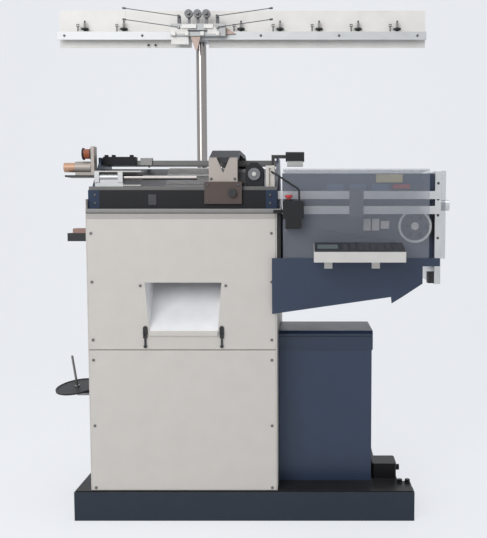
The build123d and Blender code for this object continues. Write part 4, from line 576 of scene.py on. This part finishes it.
def add_screw(target, place, direction, radius, height):
    """Domed screw head with a round socket, seated on a face."""
    profile = [(radius * out, height * rise) for out, rise in SCREW_PROFILE_SHARES]
    add_lathe(target, profile, facing(place, direction), SCREW_SEGMENTS)


def seat_screws(name, places, context, body=MACHINE):
    """Piece of dark screw heads on faces that look to the front, riding on a body."""
    trim = context.scene.knitting_trim
    finish = make_finish(name + "_steel", "oiled_steel", context.scene.knitting_finishes.dark_steel)
    screws = bmesh.new()
    for place in places:
        add_screw(screws, place, FRONT, trim.screw_radius, trim.screw_height)
    new_piece(name, screws, finish, body)


def add_coil(target, start, direction, radius, pitch, turns, wire, sides=6, steps=16):
    """Wire wound as a helix, closed at both ends."""
    matrix = facing(start, direction)
    count = int(turns * steps)
    rings = []
    for step in range(count + 1):
        angle = 2 * pi * step / steps
        out = Vector((cos(angle), sin(angle), 0))
        middle = out * radius + Vector((0, 0, pitch * step / steps))
        ring = []
        for side in range(sides):
            turn = 2 * pi * side / sides
            place = middle + out * wire * cos(turn) + Vector((0, 0, wire * sin(turn)))
            ring.append(target.verts.new(matrix @ place))
        rings.append(ring)
    for low, high in zip(rings, rings[1:]):
        for s in range(sides):
            target.faces.new((low[s], low[(s + 1) % sides], high[(s + 1) % sides], high[s]))
    target.faces.new(list(reversed(rings[0])))
    target.faces.new(rings[-1])


class KNITTING_OT_cabinet(bpy.types.Operator):
    """Finishes of the base, the cabinet, its chute and its latches"""

    bl_idname = "knitting.cabinet"
    bl_label = "Base and cabinet"

    def execute(self, context):
        look = context.scene.knitting_finishes
        dress(make_finish("base_paint", "satin_paint", look.base, dust=0.2, shine=0.35),
              "base_frame", "cabinet_frame")
        dress(make_finish("deck_paint", "satin_paint", tone(look.black, DECK_SHADE), dust=0.06, shine=0.2),
              "base_deck", "suction_blower")
        # Top band of the upper front panel, painted darker as the shade under the table's overhang
        shaded_lip = part_of("upper_front_panel", SHADED_PANEL_LIP)
        dress(make_finish("cabinet_paint", "textured_paint", look.cream),
              "cabinet_panels", "lower_front_panel")
        dress(make_finish("upper_panel_paint", "textured_paint", look.cream,
                          zones=[(*shaded_lip, tone(look.cream, PANEL_LIP_PAINTED_SHADE), *MATT_PAINT)]),
              "upper_front_panel")
        dress(make_finish("chute_paint", "satin_paint", look.chute), "glove_chute")
        dress(make_finish("table_steel", "cast_metal", tone(look.steel, TABLE_SHADE)), "table_plate")
        dress(make_finish("latch_steel", "oiled_steel", tone(look.dark_steel, LATCH_SHADE)),
              "latch_keepers", "latch_lever_left", "latch_lever_right")
        dress(make_finish("panel_screw_steel", "oiled_steel", tone(look.steel, PANEL_SCREW_SHADE)),
              "panel_screws")
        return {"FINISHED"}


class KNITTING_OT_head(bpy.types.Operator):
    """Finishes of the needle beds, rails and brackets, with small plates and the front beam's screws"""

    bl_idname = "knitting.head"
    bl_label = "Knitting head"

    def execute(self, context):
        look = context.scene.knitting_finishes
        shelf = part_of("bed_bracket_left", BRACKET_SHELF)
        dress(make_finish("bracket_paint", "satin_paint", look.navy, dust=0.1,
                          zones=[(*shelf, look.black, *SATIN_PAINT)]),
              "bed_bracket_left", "bed_bracket_right")
        self.add_apron_screws(context)
        dress(make_finish("bed_steel", "oiled_steel", look.dark_steel), "front_bed", "rear_bed")
        dress(make_finish("needle_steel", "ground_steel", tone(look.steel, NEEDLE_SHADE)), "needles")
        dress(make_finish("carrier_steel", "oiled_steel", tone(look.steel, CARRIER_SHADE)), "yarn_carrier")
        ends = [part_of("bed_beams", spans) for spans in (APRON_LEFT_END, APRON_RIGHT_END)]
        dress(make_finish("apron_paint", "satin_paint", tone(look.black, APRON_SHADE), dust=0.04, shine=0.2,
                          zones=[(*end, look.navy, *SMOOTH_PAINT) for end in ends]), "bed_beams")
        self.add_head_plates(look)
        head_rails = part_of("guide_rails", HEAD_RAILS)
        dress(make_finish("rail_steel", "ground_steel", look.aluminium,
                          zones=[(*head_rails, tone(look.steel, HEAD_RAIL_SHADE), *OILED_RAIL)]),
              "guide_rails")
        dress(make_finish("gripper_plastic", "matt_plastic", look.black, shine=0.2), "gripper_unit")
        boss = part_of("selector_housing", SELECTOR_BOSS)
        dress(make_finish("selector_plastic", "matt_plastic", tone(look.black, SELECTOR_SHADE), shine=0.25,
                          zones=[(*boss, tone(look.dark_steel, SELECTOR_BOSS_SHADE), *TURNED_STEEL)]),
              "selector_housing")
        plate = part_of("press_cylinder", CYLINDER_TOP)
        dress(make_finish("cylinder_alloy", "ground_steel", tone(look.aluminium, CYLINDER_SHADE),
                          zones=[(*plate, tone(look.white, CYLINDER_TOP_SHADE), *SATIN_PAINT)]),
              "press_cylinder")
        dress(make_finish("rod_chrome", "chrome", look.chrome), "press_rod")
        arm = part_of("carrier_drive_block", DRIVE_BLOCK_ARM)
        dress(make_finish("block_paint", "textured_paint", tone(look.cream, DRIVE_BLOCK_SHADE),
                          zones=[(*arm, look.black, *SMOOTH_PAINT)]), "carrier_drive_block")
        return {"FINISHED"}

    def add_head_plates(self, look):
        """Plate on the apron, tray beside the air cylinder and cap on the selector's boss."""
        plate = bmesh.new()
        add_plates(plate, "bed_beams", APRON_PLATE)
        paint = make_finish("apron_plate_paint", "satin_paint", tone(look.black, APRON_PLATE_SHADE))
        new_piece("apron_plate", plate, paint)
        white = bmesh.new()
        add_plates(white, "press_cylinder", CYLINDER_TRAY)
        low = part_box("selector_housing")[0]
        across, up = SELECTOR_CAP_PLACE
        seat = facing((low.x + across * MM, low.y, low.z + up * MM), FRONT)
        add_lathe(white, in_metres(SELECTOR_CAP_PROFILE), seat)
        plastic = make_finish("head_white", "matt_plastic", look.white)
        new_piece("head_white_parts", white, plastic)

    def add_apron_screws(self, context):
        """Screw heads at both ends of the front beam."""
        low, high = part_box("bed_beams")
        columns = (low.x + APRON_SCREW_INSET * MM, high.x - APRON_SCREW_INSET * MM)
        places = [(x, low.y, low.z + rise * MM) for x in columns for rise in APRON_SCREW_RISES]
        seat_screws("apron_screws", places, context)


class KNITTING_OT_carriage(bpy.types.Operator):
    """Finishes of the carriage and its drive link, with screws on the carriage"""

    bl_idname = "knitting.carriage"
    bl_label = "Carriage"

    def execute(self, context):
        look = context.scene.knitting_finishes
        knob = part_of("carriage_front", CARRIAGE_KNOB)
        cams = part_of("carriage_front", CARRIAGE_CAMS)
        dress(make_finish("carriage_plate", "cast_metal", look.taupe,
                          zones=[(*cams, tone(look.black, CAM_SHADE), *CAM_STEEL),
                                 (*knob, look.black, *SATIN_PAINT)]), "carriage_front")
        crown = part_of("carriage_bridge", BRIDGE_CROWN)
        dress(make_finish("carriage_casting", "cast_metal", look.casting,
                          zones=[(*crown, tone(look.black, CROWN_SHADE), *CROWN_METAL)]),
              "carriage_bridge")
        dress(make_finish("link_steel", "oiled_steel", look.dark_steel), "drive_link")
        self.add_carriage_screws(context)
        return {"FINISHED"}

    def add_carriage_screws(self, context):
        """Screw heads on the skirt and on the front leg of the bridge."""
        low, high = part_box("carriage_front")
        inset = SKIRT_SCREW_INSET * MM
        y = low.y + SKIRT_DEPTH * MM
        bottom, top = (low.z + rise * MM for rise in SKIRT_SCREW_RISES)
        places = [(low.x + inset, y, bottom), (low.x + inset, y, top), (high.x - inset, y, top)]
        low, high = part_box("carriage_bridge")
        leg = BRIDGE_SCREW_INSET * MM
        places += [(x, low.y, low.z + BRIDGE_SCREW_RISE * MM) for x in (low.x + leg, high.x - leg)]
        seat_screws("carriage_screws", places, context, "carriage")


class KNITTING_OT_actuators(bpy.types.Operator):
    """Finishes of the motor and the coil at the left end, with the coil's windings"""

    bl_idname = "knitting.actuators"
    bl_label = "Left actuators"

    def execute(self, context):
        look = context.scene.knitting_finishes
        motor_end = part_of("left_actuators", MOTOR_END)
        coil = part_of("left_actuators", COIL_FRAME)
        dress(make_finish("actuator_alloy", "cast_metal", look.casting,
                          zones=[(*motor_end, look.beige, *MOTOR_ALLOY),
                                 (*coil, tone(look.black, COIL_FRAME_SHADE), *COIL_IRON)]),
              "left_actuators")
        trim = context.scene.knitting_trim
        windings = bmesh.new()
        pitch = 2 * trim.wire_radius
        turns = (COIL_SPAN[1] - COIL_SPAN[0]) * MM / pitch - 1
        low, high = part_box("left_actuators")
        first = low.x + COIL_SPAN[0] * MM + trim.wire_radius
        start = (first, (low.y + high.y) / 2, high.z - COIL_DROP * MM)
        radius = COIL_RADIUS * MM + trim.wire_radius
        add_coil(windings, start, RIGHT, radius, pitch, turns, trim.wire_radius)
        copper = make_finish("winding_copper", "gloss_plastic", look.copper)
        new_piece("coil_windings", windings, copper)
        return {"FINISHED"}


class KNITTING_OT_drive(bpy.types.Operator):
    """Finishes of the drive arm, the belt drive and the clear cover, with small units and screws"""

    bl_idname = "knitting.drive"
    bl_label = "Drive arm"

    def execute(self, context):
        look = context.scene.knitting_finishes
        dress(make_finish("arm_paint", "satin_paint", look.navy), "drive_pan")
        terminals = part_of("drive_back_plate", TERMINALS)
        dress(make_finish("plate_paint", "satin_paint", tone(look.navy, BACK_PLATE_SHADE),
                          zones=[(*terminals, tone(look.navy, TERMINAL_SHADE), *SMOOTH_PAINT)]),
              "drive_back_plate")
        self.add_units(look)
        limit = part_of("drive_end_plate", LIMIT_SWITCH)
        dress(make_finish("end_plate_alloy", "upright_steel", look.aluminium,
                          zones=[(*limit, look.black, *SATIN_PAINT)]), "drive_end_plate")
        rim = part_of("drive_wheel", WHEEL_RIM)
        hub = part_of("drive_wheel", WHEEL_HUB)
        dress(make_finish("wheel_steel", "oiled_steel", tone(look.dark_steel, WHEEL_SHADE),
                          zones=[(*rim, look.aluminium, *RIM_ALLOY), (*hub, look.white, *SMOOTH_PAINT)]),
              "drive_wheel", "idler_wheel")
        dress(make_finish("motor_paint", "satin_paint", look.black), "drive_motor")
        dress(make_finish("belt_rubber", "rubber", tone(look.black, BELT_SHADE)), "drive_belt")
        dress(clear_finish("smoked_sheet", look.smoke, look.smoke_cover), "smoked_cover")
        self.add_plate_screws(context)
        return {"FINISHED"}

    def add_plate_screws(self, context):
        """Screw heads on the end plate and on the back plate."""
        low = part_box("drive_end_plate")[0]
        x = low.x + END_SCREW_INSET * MM
        places = [(x, low.y, low.z + rise * MM) for rise in END_SCREW_RISES]
        seat_screws("end_plate_screws", places, context)
        low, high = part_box("drive_back_plate")
        y = low.y + BACK_PLATE_DEPTH * MM
        places = [(low.x + share * (high.x - low.x), y, low.z + rise * MM)
                  for share in BACK_SCREW_SHARES for rise in BACK_SCREW_RISES]
        seat_screws("back_plate_screws", places, context)

    def add_units(self, look):
        """Small terminals, relay and lamp strip on the back plate."""
        units = (
            ("small_terminals", SMALL_TERMINALS, tone(look.white, SMALL_TERMINAL_SHADE), "white_plastic"),
            ("relay", RELAY, look.straw, "white_plastic"),
            ("lamp_strip", LAMP_STRIP, look.red, "red_plastic"),
        )
        for name, plates, colour, slot in units:
            unit = bmesh.new()
            add_plates(unit, "drive_back_plate", plates)
            new_piece(name, unit, make_finish(name + "_plastic", "gloss_plastic", colour))


class KNITTING_OT_controls(bpy.types.Operator):
    """Finishes of the operation panel, the switch box, the stop button and the lamp"""

    bl_idname = "knitting.controls"
    bl_label = "Controls"

    def execute(self, context):
        look = context.scene.knitting_finishes
        dress(make_finish("panel_plastic", "matt_plastic", look.white), "panel_case", "lamp_lens")
        screen = part_of("panel_face", PANEL_SCREEN)
        keys = part_of("panel_face", PANEL_KEYS)
        dress(make_finish("panel_film", "gloss_plastic", tone(look.black, FILM_SHADE),
                          zones=[(*screen, look.screen, *SCREEN_FILM)],
                          keypad=(*keys, KEY_COLUMNS, KEY_ROWS, tone(look.black, KEY_SHADE))), "panel_face")
        dress(make_finish("box_plastic", "matt_plastic", look.black, shine=0.3), "switch_box", "lamp_head")
        dress(make_finish("stop_plastic", "gloss_plastic", look.red), "stop_button")
        dress(make_finish("cable_rubber", "rubber", look.black), "lamp_cable")
        return {"FINISHED"}


class KNITTING_OT_control_box(bpy.types.Operator):
    """Finishes of the control box and what it holds"""

    bl_idname = "knitting.control_box"
    bl_label = "Control box"

    def execute(self, context):
        look = context.scene.knitting_finishes
        dress(make_finish("box_paint", "satin_paint", tone(look.navy, BOX_SHADE)), "control_box_body")
        dress(make_finish("lid_paint", "satin_paint", tone(look.navy, LID_SHADE), dust=0.08),
              "control_box_lid")
        dress(make_finish("chassis_steel", "upright_steel", tone(look.steel, CHASSIS_SHADE)),
              "control_chassis")
        return {"FINISHED"}


class KNITTING_OT_yarn_rack(bpy.types.Operator):
    """Finishes of the mast, the rack and the sensing levers, with guides, discs, springs and screws"""

    bl_idname = "knitting.yarn_rack"
    bl_label = "Yarn rack"

    def execute(self, context):
        look = context.scene.knitting_finishes
        dress(make_finish("mast_chrome", "chrome", look.chrome), "mast")
        dress(make_finish("rack_alloy", "cast_metal", tone(look.aluminium, RACK_SHADE)), "rack_rail")
        dress(make_finish("board_plastic", "matt_plastic", tone(look.white, BOARD_SHADE)), "rack_board")
        dress(make_finish("post_plastic", "matt_plastic", look.black), "tension_posts")
        guides = part_of("tension_head", TENSION_LOWER_GUIDES)
        uprights = part_of("tension_head", LEVER_UPRIGHTS)
        blocks = [part_of("tension_head", spans) for spans in (TENSION_LEFT_FACE, TENSION_RIGHT_FACE)]
        groove = part_of("tension_head", TENSION_GROOVE)
        white = tone(look.white, TENSION_WHITE_SHADE)
        dress(make_finish("head_alloy", "cast_metal", tone(look.aluminium, TENSION_HEAD_SHADE),
                          zones=[(*groove, tone(look.black, TENSION_GROOVE_SHADE), *MATT_PAINT),
                                 *((*block, white, *GLAZED) for block in blocks), (*guides, white, *GLAZED),
                                 (*uprights, tone(look.dark_steel, UPRIGHT_SHADE), *TURNED_STEEL)]),
              "tension_head")
        self.add_head_guides(look)
        self.add_springs(context.scene.knitting_trim, look)
        self.add_rail_screws(context)
        self.add_eyelets(look)
        dress(make_finish("lever_steel", "ground_steel", look.dark_steel),
              "sensing_lever_1", "sensing_lever_2", "sensing_lever_3", "sensing_lever_4")
        return {"FINISHED"}

    def add_head_guides(self, look):
        """Guides, skirt, tension discs on posts, gusset and wing of the tension head."""
        guides = bmesh.new()
        add_plates(guides, "tension_head", GUIDE_PLATES)
        white = make_finish("guide_white", "gloss_plastic", tone(look.white, GUIDE_SHADE))
        new_piece("tension_guides", guides, white)
        discs = bmesh.new()
        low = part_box("tension_head")[0]
        bottom, top = DISC_POST_SPAN
        for column in DISC_COLUMNS:
            post = oblong(column - DISC_POST_HALF, column + DISC_POST_HALF, bottom, top)
            add_plates(discs, "tension_head", [(post, DISC_DEPTH, DISC_POST_DEPTH)])
            seat = facing(low + Vector((column, DISC_DEPTH, DISC_RISE)) * MM, FRONT)
            add_lathe(discs, in_metres(DISC_PROFILE), seat, DISC_SEGMENTS)
        steel = make_finish("disc_steel", "oiled_steel", tone(look.dark_steel, DISC_SHADE))
        new_piece("tension_discs", discs, steel)
        plates = bmesh.new()
        add_plates(plates, "tension_head", TENSION_PLATES)
        casting = make_finish("plate_casting", "cast_metal", look.gusset)
        new_piece("head_plates", plates, casting)

    def add_springs(self, trim, look):
        """Spring on each tension post, between its disc and its top."""
        springs = bmesh.new()
        low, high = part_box("rack_rail")
        front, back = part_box("tension_posts")
        for slot in POST_SLOTS:
            x = low.x + (POST_FIRST + slot * POST_PITCH) * MM
            start = (x, (front.y + back.y) / 2, high.z + SPRING_RISE * MM)
            add_coil(springs, start, UP, SPRING_RADIUS * MM, SPRING_PITCH * MM, SPRING_TURNS,
                     trim.wire_radius)
        steel = make_finish("spring_steel", "ground_steel", look.steel)
        new_piece("tension_springs", springs, steel)

    def add_rail_screws(self, context):
        """Round-headed screws along the rail's face."""
        low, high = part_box("rack_rail")
        middle = (low.z + high.z) / 2
        places = [(low.x + share * (high.x - low.x), low.y, middle) for share in RAIL_SCREW_SHARES]
        seat_screws("rail_screws", places, context)

    def add_eyelets(self, look):
        """Two ceramic yarn eyelets on the board under the rail, with painted shade at the floor of their
        eyes.
        """
        eyelets = bmesh.new()
        low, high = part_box("rack_board")
        for inset in EYELET_INSETS:
            seat = facing(low + Vector((inset, EYELET_SINK, EYELET_RISE)) * MM, FRONT)
            add_lathe(eyelets, in_metres(EYELET_PROFILE), seat, EYELET_SEGMENTS)
        # Thin slab in mm at the floor of both eyes, painted black as the shade inside the eyes
        floor_y = low.y / MM + EYELET_SINK - EYELET_PROFILE[-1][1]
        thin = 0.1
        eye_shade = ([value / MM for value in low], [value / MM for value in high])
        eye_shade[0][1], eye_shade[1][1] = floor_y - thin, floor_y + thin
        ceramic = make_finish("eyelet_ceramic", "gloss_plastic", tone(look.white, EYELET_SHADE),
                              zones=[(*eye_shade, look.black, *EYE_SHADOW)])
        new_piece("rack_eyelets", eyelets, ceramic)


class KNITTING_OT_cone_holder(bpy.types.Operator):
    """Finishes of the cone holder and the side switch"""

    bl_idname = "knitting.cone_holder"
    bl_label = "Cone holder"

    def execute(self, context):
        look = context.scene.knitting_finishes
        cap = part_of("side_switch", SWITCH_CAP)
        dress(make_finish("dish_plastic", "matt_plastic", look.black), "yarn_disc")
        dress(make_finish("switch_plastic", "matt_plastic", look.black,
                          zones=[(*cap, look.cap, *SATIN_PAINT)]), "side_switch")
        dress(make_finish("spindle_steel", "upright_steel", tone(look.steel, SPINDLE_SHADE)), "spindle_arm")
        return {"FINISHED"}


class KNITTING_OT_stage(bpy.types.Operator):
    """Pale floor and backdrop, soft lights and the camera"""

    bl_idname = "knitting.stage"
    bl_label = "Stage"

    def execute(self, context):
        scene = context.scene
        stage = scene.knitting_stage
        scene.view_settings.view_transform = "Standard"
        self.build_floor(stage)
        self.build_world(scene, stage)
        self.build_lights(scene, stage)
        self.build_camera(scene, stage)
        return {"FINISHED"}

    def seen_rays(self, tree):
        """1 for rays that show the background to the eye, straight, mirrored or through clear sheet."""
        path = tree.nodes.new("ShaderNodeLightPath")
        total = path.outputs["Is Camera Ray"]
        for name in ("Is Glossy Ray", "Is Transmission Ray"):
            node = tree.nodes.new("ShaderNodeMath")
            node.operation = "MAXIMUM"
            tree.links.new(total, node.inputs[0])
            tree.links.new(path.outputs[name], node.inputs[1])
            total = node.outputs[0]
        return total

    def build_floor(self, stage):
        """Pale paper that lies under the machine and sweeps up behind it."""
        profile = [(FLOOR_FRONT, 0.0), (FLOOR_BACK, 0.0)]
        for step in range(1, FLOOR_STEPS + 1):
            angle = step / FLOOR_STEPS * pi / 2
            profile.append((FLOOR_BACK + FLOOR_SWEEP * sin(angle), FLOOR_SWEEP - FLOOR_SWEEP * cos(angle)))
        profile.append((FLOOR_BACK + FLOOR_SWEEP, FLOOR_TOP))
        mesh_data = bmesh.new()
        rows = [[mesh_data.verts.new((x, y, z)) for y, z in profile] for x in (-FLOOR_HALF, FLOOR_HALF)]
        for step in range(len(profile) - 1):
            face = mesh_data.faces.new((rows[0][step], rows[1][step], rows[1][step + 1], rows[0][step + 1]))
            face.smooth = True
        mesh = bpy.data.meshes.new("studio_floor")
        mesh_data.to_mesh(mesh)
        mesh_data.free()
        floor = bpy.data.objects.new("studio_floor", mesh)
        bpy.context.scene.collection.objects.link(floor)
        made = Finish("studio_paper")
        colour = (*stage.backdrop, 1.0)
        made.shader.inputs["Base Color"].default_value = colour
        made.shader.inputs["Roughness"].default_value = PAPER_ROUGHNESS
        glow = made.add("ShaderNodeEmission")
        glow.inputs["Color"].default_value = colour
        mix = made.add("ShaderNodeMixShader")
        share = made.math("MULTIPLY", self.seen_rays(made.tree), GLOW_SHARE)
        made.feed(mix.inputs[0], share)
        made.tree.links.new(made.shader.outputs[0], mix.inputs[1])
        made.tree.links.new(glow.outputs[0], mix.inputs[2])
        made.tree.links.new(mix.outputs[0], made.tree.nodes["Material Output"].inputs["Surface"])
        mesh.materials.append(made.material)

    def build_world(self, scene, stage):
        """Even light from all round, with the backdrop's colour where it is seen."""
        world = bpy.data.worlds.new("studio_air")
        scene.world = world
        world.use_nodes = True
        tree = world.node_tree
        back = tree.nodes["Background"]
        back.inputs["Color"].default_value = AIR_COLOUR
        back.inputs["Strength"].default_value = stage.fill
        seen = tree.nodes.new("ShaderNodeBackground")
        seen.inputs["Color"].default_value = (*stage.backdrop, 1.0)
        mix = tree.nodes.new("ShaderNodeMixShader")
        tree.links.new(self.seen_rays(tree), mix.inputs[0])
        tree.links.new(back.outputs[0], mix.inputs[1])
        tree.links.new(seen.outputs[0], mix.inputs[2])
        tree.links.new(mix.outputs[0], tree.nodes["World Output"].inputs["Surface"])

    def build_lights(self, scene, stage):
        """Large front light and overhead light."""
        lamps = (
            ("key_light", stage.key, KEY_LIGHT_SIZE, KEY_LIGHT_PLACE, KEY_LIGHT_AIM),
            ("top_light", stage.top, TOP_LIGHT_SIZE, TOP_LIGHT_PLACE, TOP_LIGHT_AIM),
        )
        for name, power, size, place, aim in lamps:
            light = bpy.data.lights.new(name, "AREA")
            light.energy = power
            light.size = size
            lamp = bpy.data.objects.new(name, light)
            lamp.location = place
            lamp.rotation_euler = (Vector(aim) - Vector(place)).to_track_quat("-Z", "Y").to_euler()
            lamp.visible_camera = False
            scene.collection.objects.link(lamp)

    def build_camera(self, scene, stage):
        """Camera in front of the machine, a little to its right."""
        data = bpy.data.cameras.new("studio_camera")
        data.lens = stage.lens
        data.shift_x = stage.shift
        camera = bpy.data.objects.new("studio_camera", data)
        camera.location = stage.camera_place
        camera.rotation_euler = (pi / 2 - stage.camera_pitch, 0, 0)
        scene.collection.objects.link(camera)
        scene.camera = camera


STEP_OPERATORS = (
    KNITTING_OT_cabinet,
    KNITTING_OT_head,
    KNITTING_OT_carriage,
    KNITTING_OT_actuators,
    KNITTING_OT_drive,
    KNITTING_OT_controls,
    KNITTING_OT_control_box,
    KNITTING_OT_yarn_rack,
    KNITTING_OT_cone_holder,
    KNITTING_OT_stage,
)


class KNITTING_PT_panel(bpy.types.Panel):
    """Buttons of the dressing steps and their settings"""

    bl_idname = "KNITTING_PT_panel"
    bl_label = "Flat Knitting Machine"
    bl_space_type = "VIEW_3D"
    bl_region_type = "UI"
    bl_category = "Knitting"

    def draw(self, context):
        for operator in STEP_OPERATORS:
            self.layout.operator(operator.bl_idname)
        scene = context.scene
        for group in (scene.knitting_finishes, scene.knitting_trim, scene.knitting_stage):
            box = self.layout.box()
            for name in group.__annotations__:
                box.prop(group, name)


CLASSES = (KnittingFinishes, KnittingTrim, KnittingStage, *STEP_OPERATORS, KNITTING_PT_panel)


def register():
    for entry in CLASSES:
        bpy.utils.register_class(entry)
    bpy.types.Scene.knitting_finishes = bpy.props.PointerProperty(type=KnittingFinishes)
    bpy.types.Scene.knitting_trim = bpy.props.PointerProperty(type=KnittingTrim)
    bpy.types.Scene.knitting_stage = bpy.props.PointerProperty(type=KnittingStage)


def unregister():
    del bpy.types.Scene.knitting_stage
    del bpy.types.Scene.knitting_trim
    del bpy.types.Scene.knitting_finishes
    for entry in reversed(CLASSES):
        bpy.utils.unregister_class(entry)


def main():
    register()
    bpy.ops.knitting.cabinet()
    bpy.ops.knitting.head()
    bpy.ops.knitting.carriage()
    bpy.ops.knitting.actuators()
    bpy.ops.knitting.drive()
    bpy.ops.knitting.controls()
    bpy.ops.knitting.control_box()
    bpy.ops.knitting.yarn_rack()
    bpy.ops.knitting.cone_holder()
    bpy.ops.knitting.stage()


if __name__ == "__main__":
    main()
